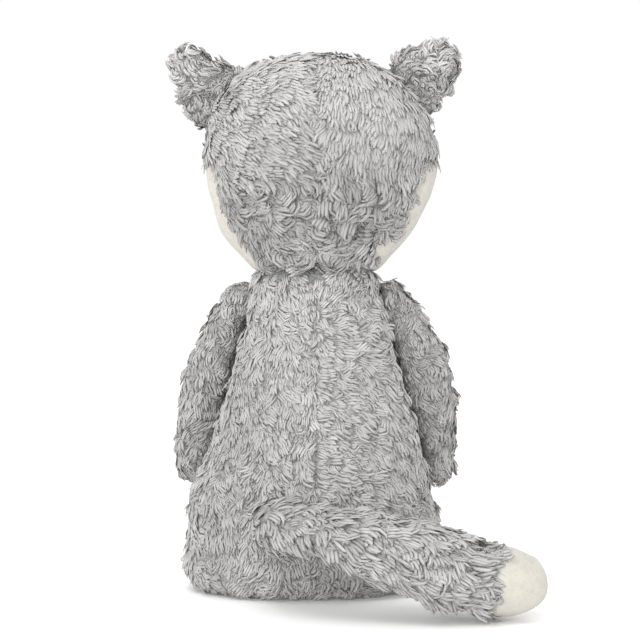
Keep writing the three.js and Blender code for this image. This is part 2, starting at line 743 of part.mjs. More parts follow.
// Places along the leg: outwards and up as shares of its radius, forward as shares of its length.
const legPlaceShares = [
  [0, 0.05, 1.03], [0.08, 0.3, 1.02], [0.18, 0.6, 1.04], [0.25, 0.85, 1.21], [0.28, 1, 2.1],
];

function buildLeg(side) {
  const floorShare = LEG_RADIUS / TORSO_HEIGHT;
  const angle = -Math.acos(LEG_SPREAD / torsoForm.sectionAt(floorShare).width);
  const hip = torsoForm.point(angle, floorShare);
  hip.x *= side;
  const places = legPlaceShares.map(([out, ahead, above]) => new THREE.Vector3(
    hip.x + side * out * LEG_RADIUS, hip.y - ahead * LEG_LENGTH, above * LEG_RADIUS,
  ));
  const start = new THREE.Vector3(hip.x, hip.y + HIP_TUCK, places[0].z);
  const form = new SwellingForm({
    points: [start, ...places],
    across: X_AXIS,
    halfWidth: LEG_RADIUS,
    halfDepth: LEG_RADIUS,
    widthShares: [[0, 0.92], [0.2, 1], [0.45, 1], [0.7, 0.95], [0.85, 0.95], [1, 0.9]],
    depthShares: [[0, 0.92], [0.2, 1], [0.45, 1], [0.7, 0.92], [0.85, 0.75], [1, 0.6]],
    startCap: LEG_RADIUS,
    endCap: FOOT_CAP,
    sides: 12,
    rings: 7,
  });
  const hinge = {
    point: new THREE.Vector3(hip.x, hip.y - HIP_OFFSET, places[0].z),
    axis: X_AXIS.clone().negate(),
    from: LEG_DROP,
    to: LEG_LIFT,
  };
  const slot = bar(start.clone().addScaledVector(Y_AXIS, HIP_TUCK), Y_AXIS.clone().negate(),
    SEWING_SLOT_RADIUS, HIP_TUCK + HIP_OFFSET);
  const group = groupAt(hinge.point);
  const toe = new THREE.Vector3(0, form.solid().boundingBox().min[1] + SOLE_DEPTH, 0);
  for (const [face, angle] of [["outer", 0], ["inner", Math.PI]]) {
    const turn = side === LEFT ? angle : Math.PI - angle;
    const half = cutByTurns(form.panel(PLUSH, turn).subtract(slot), torsoKeepOut, hinge);
    const parts = partedAt(half, toe, Y_AXIS);
    addPiece(`leg_${sideName(side)}_${face}_panel`, parts.far, materials.greyPlush, group);
  }
  const sole = partedAt(form.shell(PLUSH), toe, Y_AXIS).near;
  const fill = cutByTurns(form.stuffing(PLUSH), torsoKeepOut, hinge);
  addPiece(`foot_${sideName(side)}_sole`, sole, materials.creamPlush, group);
  addPiece(`leg_${sideName(side)}_stuffing`, biggest(fill), materials.fibreFill, group);
}

// Tail: sewn low on the back, bent to the fox's right, resting on the floor, with a cream tip

// Places along the tail: sideways as shares of its reach, behind the torso as shares of its
// back distance, and up as shares of its radius.
const tailPlaceShares = [
  [0.14, -0.1, 1.6], [0.165, 0.24, 1.6], [0.11, 0.68, 1.58], [-0.11, 0.96, 1.42],
  [-0.38, 1, 1.18], [-0.64, 1, 1.01], [-1, 0.88, 0.86],
];

function buildTail() {
  const rootHeight = tailPlaceShares[0][2] * TAIL_RADIUS;
  const backFace = torsoForm.sectionAt(rootHeight / TORSO_HEIGHT).depth;
  const places = tailPlaceShares.map(([sideways, behind, above]) => new THREE.Vector3(
    sideways * TAIL_REACH, backFace + behind * TAIL_BACK, above * TAIL_RADIUS,
  ));
  const form = new SwellingForm({
    points: places,
    across: Z_AXIS,
    halfWidth: TAIL_RADIUS,
    halfDepth: TAIL_RADIUS,
    widthShares: [[0, 0.74], [0.2, 0.82], [0.45, 0.93], [0.65, 1], [0.85, 0.94], [1, 0.84]],
    startCap: TAIL_ROOT_CAP,
    endCap: TAIL_TIP_CAP,
    sides: 12,
    rings: 10,
  });
  const hinge = {
    point: new THREE.Vector3(places[0].x, backFace + TAIL_HINGE_OFFSET, places[0].z),
    axis: Z_AXIS.clone().negate(),
    from: TAIL_SWING_IN,
    to: TAIL_SWING_OUT,
  };
  const slot = bar(new THREE.Vector3(places[0].x, backFace - TAIL_HINGE_OFFSET, places[0].z), Y_AXIS,
    SEWING_SLOT_RADIUS, 2 * TAIL_HINGE_OFFSET);
  const group = groupAt(hinge.point);
  const { centre, along } = form.frameAt(TAIL_TIP_SHARE);
  for (const [face, angle] of [["outer", Math.PI / 2], ["inner", -Math.PI / 2]]) {
    const half = cutByTurns(form.panel(PLUSH, angle).subtract(slot), torsoKeepOut, hinge);
    const parts = partedAt(half, centre, along);
    addPiece(`tail_${face}_panel`, parts.near, materials.greyPlush, group);
  }
  const tip = partedAt(form.shell(PLUSH), centre, along).far;
  const fill = cutByTurns(form.stuffing(PLUSH), torsoKeepOut, hinge);
  addPiece("tail_tip", tip, materials.creamPlush, group);
  addPiece("tail_stuffing", biggest(fill), materials.fibreFill, group);
}

buildTorso();
buildHead();
[LEFT, RIGHT].forEach(buildArm);
[LEFT, RIGHT].forEach(buildLeg);
buildTail();

export default fox;
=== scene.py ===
"""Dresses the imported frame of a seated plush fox: shaggy grey pile, cream velour and a sewn face.

Each cover starts as the frame's own panels, closed over their stuffing and puffed between the seams.
The covers are then cut along the seams of the cream panels, and curved locks of pile are set on the
grey ones by a geometry node tree. Lengths are in metres, and the fox faces -Y.
"""

from __future__ import annotations

import json
import logging
import math
from collections.abc import Iterable, Sequence
from dataclasses import dataclass, fields
from enum import Enum

import bmesh
import bpy
import numpy as np
from mathutils import Matrix, Vector, noise
from mathutils.bvhtree import BVHTree

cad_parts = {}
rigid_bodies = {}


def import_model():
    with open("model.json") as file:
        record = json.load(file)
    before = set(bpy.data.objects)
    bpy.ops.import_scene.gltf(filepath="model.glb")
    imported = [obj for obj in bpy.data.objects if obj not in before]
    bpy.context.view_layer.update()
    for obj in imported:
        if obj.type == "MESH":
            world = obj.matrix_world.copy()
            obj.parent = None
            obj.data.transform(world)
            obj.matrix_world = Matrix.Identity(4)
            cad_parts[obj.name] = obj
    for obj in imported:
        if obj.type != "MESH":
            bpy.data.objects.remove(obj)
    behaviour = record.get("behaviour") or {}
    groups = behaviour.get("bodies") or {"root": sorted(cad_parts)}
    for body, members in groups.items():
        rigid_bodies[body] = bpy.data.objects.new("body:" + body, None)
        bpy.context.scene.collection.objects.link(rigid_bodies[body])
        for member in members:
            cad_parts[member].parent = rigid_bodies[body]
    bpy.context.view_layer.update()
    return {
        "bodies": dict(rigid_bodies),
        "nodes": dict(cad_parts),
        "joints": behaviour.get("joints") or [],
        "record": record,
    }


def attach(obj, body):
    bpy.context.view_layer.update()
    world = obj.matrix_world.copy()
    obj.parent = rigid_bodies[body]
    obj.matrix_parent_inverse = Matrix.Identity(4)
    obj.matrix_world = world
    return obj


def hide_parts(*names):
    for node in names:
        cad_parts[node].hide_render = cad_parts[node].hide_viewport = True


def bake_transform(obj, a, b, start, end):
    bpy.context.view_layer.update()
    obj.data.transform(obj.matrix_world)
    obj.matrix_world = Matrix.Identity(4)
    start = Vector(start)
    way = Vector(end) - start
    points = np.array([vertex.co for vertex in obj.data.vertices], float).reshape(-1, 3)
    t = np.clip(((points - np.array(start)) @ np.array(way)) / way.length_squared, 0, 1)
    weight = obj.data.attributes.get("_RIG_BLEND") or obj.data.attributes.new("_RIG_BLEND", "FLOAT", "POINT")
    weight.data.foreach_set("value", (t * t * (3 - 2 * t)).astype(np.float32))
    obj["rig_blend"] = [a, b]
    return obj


log = logging.getLogger("plush_fox")

MM = 0.001
UP = Vector((0, 0, 1))
FLOOR_CLEARANCE = 0.3 * MM
PUFF_FRAMES = 14
CLOTH_SETTINGS = {
    "quality": 4,
    "mass": 0.2,
    "tension_stiffness": 12,
    "compression_stiffness": 12,
    "bending_stiffness": 0.6,
    "use_pressure": True,
    "uniform_pressure_force": 3,
}
TINY = 1e-9
FIELD_STEPS = (13.7, 5.3, 9.1)
FLOW = "pile_flow"
REACH = "pile_reach"
CURL = "pile_curl"
COVERAGE = "pile_coverage"
# Painted light and shade of the pile, laid on the backing's vertices.
PAINTED_LIGHT = "pile_height"
ALONG = "along"
# Each lock's random tone together with the painted light and shade beneath it.
TONE = "lock_tone"
STRAND = "strand_tone"
CELL = "cell"
CELL_ROWS = "rows"
LOCK_MAP = "lock_map"
BAKE_MAP = "OFBake"

Point = tuple[float, float, float]
Rows = np.ndarray
Mesh = bpy.types.Mesh
Piece = bpy.types.Object
Material = bpy.types.Material
Node = bpy.types.Node
Socket = bpy.types.NodeSocket
Built = bmesh.types.BMesh


class Slot(Enum):
    """The record's material slots."""

    GREY = "grey_plush"
    CREAM = "cream_plush"
    BLACK = "black_plastic"
    WHITE = "white_plastic"
    THREAD = "nose_thread"


class Side(Enum):
    """The fox's left is +X, and its right is -X."""

    LEFT = 1
    RIGHT = -1

    @property
    def word(self) -> str:
        """The side as it is written in a node's name."""
        return self.name.lower()


# Trees of nodes


@dataclass
class NodeTree:
    """Adds nodes to a tree and links them by the names of their sockets."""

    tree: bpy.types.NodeTree

    def add(self, kind: str, feeds: dict | None = None, **settings: object) -> Node:
        """Adds one node.

        Args:
            kind: The node's type name.
            feeds: What goes into each input, by its name or place: an output socket, a node whose first
                output is meant, or a plain value.
            **settings: Properties of the node, set before its inputs.

        Returns:
            The new node.
        """
        node = self.tree.nodes.new(kind)
        for name, value in settings.items():
            setattr(node, name, value)
        for key, value in (feeds or {}).items():
            socket = self.find(node.inputs, key)
            if isinstance(value, (bpy.types.Node, bpy.types.NodeSocket)):
                self.feed(value, socket)
            else:
                socket.default_value = value
        return node

    def feed(self, value: Node | Socket, socket: Socket) -> None:
        """Links a node's first output, or an output socket, to an input."""
        self.tree.links.new(self.first(value) if isinstance(value, bpy.types.Node) else value, socket)

    @staticmethod
    def find(sockets: Iterable[Socket], key: str | int) -> Socket:
        """The socket in use that has a name, or the one at a place among those in use."""
        in_use = [s for s in sockets if s.enabled]
        return in_use[key] if isinstance(key, int) else next(s for s in in_use if s.name == key)

    @classmethod
    def first(cls, node: Node) -> Socket:
        """A node's first output in use."""
        return cls.find(node.outputs, 0)

    def out(self, node: Node, name: str) -> Socket:
        """A node's output by name."""
        return self.find(node.outputs, name)

    def math(self, operation: str, *values: object, kind: str = "ShaderNodeMath") -> Node:
        """A sum, product or other simple operation on one or two values."""
        return self.add(kind, dict(enumerate(values)), operation=operation)

    def product(self, *values: object) -> Node | Socket | float:
        """Two or more values multiplied, one after another."""
        total = values[0]
        for value in values[1:]:
            total = self.math("MULTIPLY", total, value)
        return total

    def ranged(self, value: object, low: float, high: float, **limits: float) -> Node:
        """Brings a value to the range from low to high.

        Args:
            value: The value.
            low: What it becomes at its own lowest.
            high: What it becomes at its own highest.
            **limits: Its own lowest and highest as start and end, 0 and 1 if they aren't given, and
                clamp, whether it keeps within the range.

        Returns:
            The node.
        """
        feeds = {"Value": value, "From Min": limits.get("start", 0.0), "From Max": limits.get("end", 1.0)}
        feeds |= {"To Min": low, "To Max": high}
        return self.add("ShaderNodeMapRange", feeds, clamp=limits.get("clamp", True))


def shader_group(name: str, inputs: dict[str, float], outputs: Sequence[str]) -> tuple[NodeTree, Node, Node]:
    """Starts a shader node group of plain numbers.

    Args:
        name: The group's name.
        inputs: Names of the inputs and their defaults.
        outputs: Names of the outputs.

    Returns:
        The group's NodeTree helper, its input node and its output node.
    """
    tree = bpy.data.node_groups.new(name, "ShaderNodeTree")
    for label, value in inputs.items():
        socket = tree.interface.new_socket(label, in_out="INPUT", socket_type="NodeSocketFloat")
        socket.default_value = value
    for label in outputs:
        tree.interface.new_socket(label, in_out="OUTPUT", socket_type="NodeSocketFloat")
    return NodeTree(tree), tree.nodes.new("NodeGroupInput"), tree.nodes.new("NodeGroupOutput")


def cloudiness(made: NodeTree, size: Socket, **feeds: float) -> Node:
    """Adds noise on the object's own coordinates.

    Args:
        made: The tree that it is added to.
        size: The size of its features.
        **feeds: The noise's detail, roughness and distortion.

    Returns:
        The noise node.
    """
    place = made.out(made.add("ShaderNodeTexCoord"), "Object")
    scale = made.math("DIVIDE", 1.0, size)
    return made.add("ShaderNodeTexNoise", {"Vector": place, "Scale": scale, **feeds})


class Effects:
    """Shader groups that several finishes share, each built once."""

    def __init__(self) -> None:
        """Builds the groups."""
        self.patches = self.build_patches()
        self.fuzz = self.build_fuzz()

    @staticmethod
    def build_patches() -> bpy.types.NodeTree:
        """Broad, soft patches of lighter and darker fabric.

        Returns:
            A group that gives a factor round one, for patches of a size and a depth.
        """
        made, start, end = shader_group("fabric_patches", {"Size": 0.03, "Depth": 0.1}, ("Factor",))
        broad = cloudiness(made, start.outputs["Size"], Detail=3.0, Roughness=0.55)
        swing = made.product(made.math("SUBTRACT", broad, 0.5), start.outputs["Depth"], 2.0)
        made.feed(made.math("ADD", swing, 1.0), end.inputs["Factor"])
        return made.tree

    @staticmethod
    def build_fuzz() -> bpy.types.NodeTree:
        """Fine fibre ends in clumps.

        Returns:
            A group that gives a height for a bump, and a mask of the fibre ends against the gaps.
        """
        made, start, end = shader_group("fibre_fuzz", {"Fibre": 0.0006, "Clump": 0.004}, ("Height", "Gaps"))
        fine = cloudiness(made, start.outputs["Fibre"], Detail=2.0, Distortion=0.6)
        clumps = cloudiness(made, start.outputs["Clump"], Detail=3.0, Distortion=0.8)
        height = made.math("ADD", fine, clumps)
        made.feed(height, end.inputs["Height"])
        made.feed(made.ranged(height, 0.0, 1.0, start=0.75, end=1.05), end.inputs["Gaps"])
        return made.tree


# Finishes


def grey(level: float, warmth: float = 0.0) -> tuple[float, float, float, float]:
    """A grey of a linear level, warmed or cooled a little."""
    return (level * (1 + warmth), level, level * (1 - warmth), 1.0)


@dataclass(frozen=True)
class Finish:
    """A named material around one Principled shader, with its plain values set on the sockets."""

    name: str
    roughness: float = 0.8
    sheen: float = 0.0
    sheen_roughness: float = 0.6
    specular: float = 0.3

    def build(self, effects: Effects) -> Material:
        """Makes the material.

        Args:
            effects: The shared shader groups.

        Returns:
            The material, with its pattern linked to the shader.
        """
        material = bpy.data.materials.new(self.name)
        material.use_nodes = True
        shader = material.node_tree.nodes["Principled BSDF"]
        shader.inputs["Roughness"].default_value = self.roughness
        shader.inputs["Sheen Weight"].default_value = self.sheen
        shader.inputs["Sheen Roughness"].default_value = self.sheen_roughness
        shader.inputs["Specular IOR Level"].default_value = self.specular
        self.pattern(NodeTree(material.node_tree), shader, effects)
        return material

    def pattern(self, made: NodeTree, shader: Node, effects: Effects) -> None:
        """Links the finish's colour, roughness and bump to the shader.

        Args:
            made: The material's tree.
            shader: Its Principled shader.
            effects: The shared shader groups.
        """
        raise NotImplementedError

    @staticmethod
    def group(made: NodeTree, tree: bpy.types.NodeTree, **values: float) -> Node:
        """Places a shared group with its own values."""
        return made.add("ShaderNodeGroup", values, node_tree=tree)

    @staticmethod
    def tint(made: NodeTree, shader: Node, colour: object, factor: object) -> None:
        """Colours the shader with a colour times a grey factor."""
        feeds = {"Factor": 1.0, "A": colour, "B": factor}
        mixed = made.add("ShaderNodeMix", feeds, data_type="RGBA", blend_type="MULTIPLY")
        made.feed(made.out(mixed, "Result"), shader.inputs["Base Color"])

    @staticmethod
    def bump(made: NodeTree, shader: Node, height: object, depth: float, share: float) -> None:
        """Feeds a height to the shader's normal."""
        node = made.add("ShaderNodeBump", {"Strength": share, "Distance": depth, "Height": height})
        made.feed(node, shader.inputs["Normal"])


@dataclass(frozen=True)
class PileFinish(Finish):
    """Long pile: darker towards the root as painted shade and pale at the tip, with each lock's tone a little
    different at random and lightened or darkened by painted light and shade.
    """

    # The root's darker grey and the ramp's shoulder are painted shade between the locks; the tip is the pile's own
    # grey.
    root: float = 0.22
    tip: float = 0.42
    warmth: float = 0.018
    shoulder_place: float = 0.25
    shoulder_share: float = 0.75
    tip_place: float = 0.62
    # How far each lock's random tone and its painted light and shade lighten or darken it.
    lock_depth: float = 0.34
    strand_depth: float = 0.05
    patch_size: float = 0.035
    patch_depth: float = 0.11
    fibre: float = 0.0004
    clump: float = 0.0015
    depth: float = 0.0003
    share: float = 0.5

    def pattern(self, made: NodeTree, shader: Node, effects: Effects) -> None:
        """Colours the locks along their length, darker towards the root as painted shade, and roughens them with
        fibres.
        """
        # The ramp darkens each lock towards its root as painted shade.
        ramp = made.add("ShaderNodeValToRGB", {"Fac": self.attribute(made, ALONG)})
        stops = ramp.color_ramp.elements
        stops[0].color = grey(self.root, self.warmth)
        stops[1].position = self.tip_place
        stops[1].color = grey(self.tip, self.warmth)
        shoulder = stops.new(self.shoulder_place)
        shoulder.color = grey(self.root + self.shoulder_share * (self.tip - self.root), self.warmth)
        # Each lock's own random tone, with the painted light and shade of the backing beneath it.
        low, high = 1 - self.lock_depth, 1 + self.lock_depth / 2
        own = made.ranged(self.attribute(made, TONE), low, high, clamp=False)
        low, high = 1 - self.strand_depth, 1 + self.strand_depth / 4
        single = made.ranged(self.attribute(made, STRAND), low, high)
        patches = self.group(made, effects.patches, Size=self.patch_size, Depth=self.patch_depth)
        self.tint(made, shader, made.out(ramp, "Color"), made.product(own, single, patches.outputs["Factor"]))
        fuzz = self.group(made, effects.fuzz, Fibre=self.fibre, Clump=self.clump)
        rough = made.ranged(fuzz.outputs["Gaps"], self.roughness + 0.1, self.roughness - 0.05)
        made.feed(rough, shader.inputs["Roughness"])
        self.bump(made, shader, fuzz.outputs["Height"], self.depth, self.share)

    @staticmethod
    def attribute(made: NodeTree, name: str) -> Socket:
        """A number that is stored on the pile."""
        return made.out(made.add("ShaderNodeAttribute", attribute_name=name), "Fac")


@dataclass(frozen=True)
class VelourFinish(Finish):
    """Short dense pile: soft, matt, with brushed patches and fine fibre ends."""

    colour: Point = (0.515, 0.492, 0.437)
    # The gaps between the fibre ends are darkened as painted shade.
    shade: float = 0.86
    patch_size: float = 0.02
    patch_depth: float = 0.04
    fibre: float = 0.0006
    fibres_in_clump: float = 7
    depth: float = 0.0004
    share: float = 0.7

    def pattern(self, made: NodeTree, shader: Node, effects: Effects) -> None:
        """Colours the fibre ends, darkens the gaps between them as painted shade and roughens the surface."""
        fuzz = self.group(made, effects.fuzz, Fibre=self.fibre, Clump=self.fibre * self.fibres_in_clump)
        dark = (*(c * self.shade for c in self.colour), 1.0)
        feeds = {"Factor": fuzz.outputs["Gaps"], "A": dark, "B": (*self.colour, 1.0)}
        ends = made.add("ShaderNodeMix", feeds, data_type="RGBA")
        patches = self.group(made, effects.patches, Size=self.patch_size, Depth=self.patch_depth)
        self.tint(made, shader, made.out(ends, "Result"), patches.outputs["Factor"])
        made.feed(made.ranged(fuzz.outputs["Gaps"], 1.0, self.roughness), shader.inputs["Roughness"])
        self.bump(made, shader, fuzz.outputs["Height"], self.depth, self.share)


@dataclass(frozen=True)
class MouldedFinish(Finish):
    """Moulded plastic with the faint ripple and handling marks of a polished part."""

    colour: Point = (0.01, 0.01, 0.012)
    patch_size: float = 0.003
    patch_depth: float = 0.12
    depth: float = 0.00005
    share: float = 0.3

    def pattern(self, made: NodeTree, shader: Node, effects: Effects) -> None:
        """Adds faint cloudiness to the colour, the gloss and the surface."""
        patches = self.group(made, effects.patches, Size=self.patch_size, Depth=self.patch_depth)
        self.tint(made, shader, (*self.colour, 1.0), patches.outputs["Factor"])
        made.feed(made.product(patches.outputs["Factor"], self.roughness), shader.inputs["Roughness"])
        self.bump(made, shader, patches.outputs["Factor"], self.depth, self.share)


@dataclass(frozen=True)
class StudioFinish(Finish):
    """The plain pale surface that the fox sits on."""

    level: float = 0.96
    warmth: float = 0.002
    glow: float = 0.06
    patch_size: float = 0.5
    patch_depth: float = 0.006

    def pattern(self, made: NodeTree, shader: Node, effects: Effects) -> None:
        """Keeps the surface plain, with the faintest unevenness."""
        patches = self.group(made, effects.patches, Size=self.patch_size, Depth=self.patch_depth)
        self.tint(made, shader, grey(self.level, self.warmth), patches.outputs["Factor"])
        shader.inputs["Emission Color"].default_value = (1, 1, 1, 1)
        shader.inputs["Emission Strength"].default_value = self.glow


class Wardrobe:
    """All finishes, built once and handed to the sub-assemblies."""

    def __init__(self) -> None:
        """Builds each material."""
        effects = Effects()
        self.pile = PileFinish("shaggy_grey_pile", roughness=0.85, sheen=0.3, specular=0.1).build(effects)
        # The knit backing is darker than the pile, as painted shade in the gaps between the locks.
        self.backing = VelourFinish(
            "grey_knit_backing",
            roughness=0.9,
            colour=(0.3, 0.3, 0.3),
            shade=0.4,
            specular=0.1,
            fibre=0.0015,
            depth=0.0015,
        ).build(effects)
        self.velour = VelourFinish("cream_velour", roughness=0.85, sheen=0.3, specular=0.15).build(effects)
        self.eye = MouldedFinish("black_eye_plastic", roughness=0.1, specular=0.28).build(effects)
        white = (0.78, 0.78, 0.77)
        self.washer = MouldedFinish("white_washer_plastic", roughness=0.45, colour=white).build(effects)
        dark = (0.035, 0.028, 0.025)
        self.thread = VelourFinish(
            "dark_nose_thread", roughness=0.55, colour=dark, fibre=0.0003, depth=0.0002
        ).build(effects)
        self.floor = StudioFinish("pale_studio_floor", roughness=1.0, specular=0.0).build(effects)


# Meshes


def piece_from(name: str, mesh: Mesh, material: Material | None = None) -> Piece:
    """Puts a mesh into the scene as a smooth piece at the origin.

    Args:
        name: The piece's name, which its mesh gets too.
        mesh: The mesh.
        material: Its finish, if it has one already.

    Returns:
        The piece.
    """
    piece = bpy.data.objects.new(name, mesh)
    mesh.name = name
    bpy.context.scene.collection.objects.link(piece)
    if material:
        dress(mesh, material)
    mesh.shade_smooth()
    return piece


def dress(mesh: Mesh, material: Material) -> None:
    """Gives a mesh one finish and no other."""
    mesh.materials.clear()
    mesh.materials.append(material)


def mesh_of(built: Built, name: str) -> Mesh:
    """Ends the building of a mesh.

    Args:
        built: What was built, which is freed.
        name: The mesh's name.

    Returns:
        The finished mesh.
    """
    mesh = bpy.data.meshes.new(name)
    built.to_mesh(mesh)
    built.free()
    return mesh


def built_from(mesh: Mesh) -> Built:
    """Opens a copy of a mesh for building."""
    built = bmesh.new()
    built.from_mesh(mesh)
    return built


def evaluated_mesh(piece: Piece) -> Mesh:
    """A piece's mesh with its modifiers applied, as a mesh of its own."""
    graph = bpy.context.evaluated_depsgraph_get()
    return bpy.data.meshes.new_from_object(piece.evaluated_get(graph))


def baked(piece: Piece) -> None:
    """Applies a piece's modifiers and takes them off."""
    mesh = evaluated_mesh(piece)
    piece.modifiers.clear()
    old = piece.data
    piece.data = mesh
    bpy.data.meshes.remove(old)


def remeshed(piece: Piece, voxel: float) -> None:
    """Closes a piece's mesh over into one skin of even faces."""
    remesh = piece.modifiers.new("close", "REMESH")
    remesh.mode = "VOXEL"
    remesh.voxel_size = voxel
    baked(piece)


def discard(piece: Piece) -> None:
    """Removes a helper piece and its mesh."""
    mesh = piece.data
    bpy.data.objects.remove(piece)
    if mesh and not mesh.users:
        bpy.data.meshes.remove(mesh)


def hung(piece: Piece, slot: Slot, body: str) -> None:
    """Puts a piece on a body and reports it."""
    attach(piece, body)
    report(piece)


def report(piece: Piece) -> None:
    """Logs a finished piece."""
    log.info("%s: %d faces", piece.name, len(piece.data.polygons))


def places(mesh: Mesh) -> Rows:
    """A mesh's vertices as rows of an array."""
    flat = np.empty(len(mesh.vertices) * 3, np.float32)
    mesh.vertices.foreach_get("co", flat)
    return flat.reshape(-1, 3).astype(float)


def directions(mesh: Mesh) -> Rows:
    """A mesh's vertex normals as rows of an array."""
    flat = np.empty(len(mesh.vertices) * 3, np.float32)
    mesh.vertex_normals.foreach_get("vector", flat)
    return flat.reshape(-1, 3).astype(float)


def move_to(mesh: Mesh, points: Rows) -> None:
    """Moves a mesh's vertices to new places."""
    mesh.vertices.foreach_set("co", points.astype(np.float32).ravel())
    mesh.update()


def edge_ends(mesh: Mesh) -> tuple[Rows, Rows, Rows]:
    """The first and second vertex of each edge, and how many edges each vertex has."""
    ends = np.empty(len(mesh.edges) * 2, np.int32)
    mesh.edges.foreach_get("vertices", ends)
    a, b = ends.reshape(-1, 2).T
    return a, b, np.maximum(np.bincount(np.concatenate([a, b]), minlength=len(mesh.vertices)), 1)


def largest_part(built: Built) -> None:
    """Keeps the largest connected part of a mesh and deletes the rest."""
    unseen = set(built.verts)
    parts = []
    while unseen:
        part = {unseen.pop()}
        edge = list(part)
        while edge:
            near = {e.other_vert(v) for v in edge for e in v.link_edges} & unseen
            unseen -= near
            part |= near
            edge = list(near)
        parts.append(part)
    parts.sort(key=len)
    for part in parts[:-1]:
        bmesh.ops.delete(built, geom=list(part), context="VERTS")


def smoothed(mesh: Mesh, rounds: int, shares: Rows | float = 1.0) -> None:
    """Evens out a mesh by moving each vertex towards the middle of its neighbours.

    Args:
        mesh: The mesh that is changed.
        rounds: How often every vertex moves.
        shares: How strongly each vertex is moved, from 0 to 1.
    """
    strength = 0.5 * np.reshape(shares, (-1, 1))
    a, b, count = edge_ends(mesh)
    points = places(mesh)
    for _ in range(rounds):
        total = np.zeros_like(points)
        np.add.at(total, a, points[b])
        np.add.at(total, b, points[a])
        points += strength * (total / count[:, None] - points)
    move_to(mesh, points)


def averaged(mesh: Mesh, values: Rows, rounds: int) -> Rows:
    """Evens out a value on a mesh's vertices.

    Args:
        mesh: The mesh.
        values: A value for each vertex.
        rounds: How often every value moves towards its neighbours' average.

    Returns:
        The new values.
    """
    a, b, count = edge_ends(mesh)
    for _ in range(rounds):
        total = np.bincount(a, values[b], len(values)) + np.bincount(b, values[a], len(values))
        values = 0.5 * values + 0.5 * total / count
    return values


def cut_where_zero(built: Built, values: Rows) -> None:
    """Cuts a mesh's faces along the line where a value on its vertices passes through zero.

    Args:
        built: The mesh that is cut.
        values: A value for each vertex.
    """
    layer = built.verts.layers.float.new("cut")
    for vert, value in zip(built.verts, values):
        vert[layer] = float(value) if abs(value) > 1e-5 else 0.0
    on_line = {v for v in built.verts if v[layer] == 0.0}
    for edge in list(built.edges):
        a, b = edge.verts
        if a[layer] * b[layer] < 0:
            share = a[layer] / (a[layer] - b[layer])
            _, vert = bmesh.utils.edge_split(edge, a, share)
            vert[layer] = 0.0
            on_line.add(vert)
    bmesh.ops.connect_verts(built, verts=list(on_line))
    built.verts.layers.float.remove(layer)


def part_of(built: Built, chosen: Rows) -> Mesh:
    """The chosen faces of a mesh as a mesh of their own."""
    copy = built.copy()
    copy.faces.ensure_lookup_table()
    dropped = [face for face, keep in zip(copy.faces, chosen) if not keep]
    bmesh.ops.delete(copy, geom=dropped, context="FACES")
    return mesh_of(copy, "part")


# Distances and fields


class Field(Enum):
    """The fields of noise, each with its own place in the noise."""

    SWIRL = 1.0
    RUFFLE = 2.0
    LUMPS = 3.0
    CURL = 4.0
    REACH = 5.0
    WANDER = 6.0
    TUFTS = 7.0


class Nearness:
    """Distances from points to some of the frame's nodes."""

    def __init__(self) -> None:
        """Starts with no trees."""
        self.trees: dict[str, BVHTree] = {}

    def tree(self, node: str) -> BVHTree:
        """The search tree of one node's surface."""
        if node not in self.trees:
            mesh = bpy.data.objects[node].data
            corners = [v.co.copy() for v in mesh.vertices]
            self.trees[node] = BVHTree.FromPolygons(corners, [tuple(p.vertices) for p in mesh.polygons])
        return self.trees[node]

    def towards(self, points: Rows, nodes: Sequence[str]) -> tuple[Rows, Rows]:
        """The distance from each point to the nearest of some nodes, and the way there.

        Args:
            points: The points.
            nodes: The nodes' names.

        Returns:
            The distances, and a way of length one for each point.
        """
        best = np.full(len(points), np.inf)
        ways = np.zeros_like(points)
        for node in nodes:
            tree = self.tree(node)
            for k, point in enumerate(points):
                place, _, _, distance = tree.find_nearest(Vector(point))
                if distance < best[k]:
                    best[k] = distance
                    ways[k] = np.array(place) - point
        return best, unit(ways)

    def distances(self, points: Rows, nodes: Sequence[str]) -> Rows:
        """Distances from points to nodes, with a row for each point and a column for each node."""
        trees = [self.tree(node) for node in nodes]
        return np.array([[tree.find_nearest(Vector(p))[3] for p in points] for tree in trees]).T


def noise_field(points: Rows, size: float, field: Field) -> Rows:
    """Smooth noise from -1 to 1 at points, with features of a size."""
    shift = Vector([field.value * step for step in FIELD_STEPS])
    return np.array([noise.noise(Vector(p) / size + shift) for p in points])


def unit(vectors: Rows) -> Rows:
    """Vectors brought to length one."""
    lengths = np.linalg.norm(vectors, axis=1, keepdims=True)
    return vectors / np.maximum(lengths, TINY)


def ramp(values: Rows, low: float, high: float) -> Rows:
    """A smooth rise from 0 at one value to 1 at another."""
    t = np.clip((values - low) / (high - low), 0, 1)
    return t * t * (3 - 2 * t)


def fading(distances: Rows, reach: float) -> Rows:
    """A share that is 1 at distance zero and dies away over a reach."""
    return np.exp(-distances / reach)


# Pile


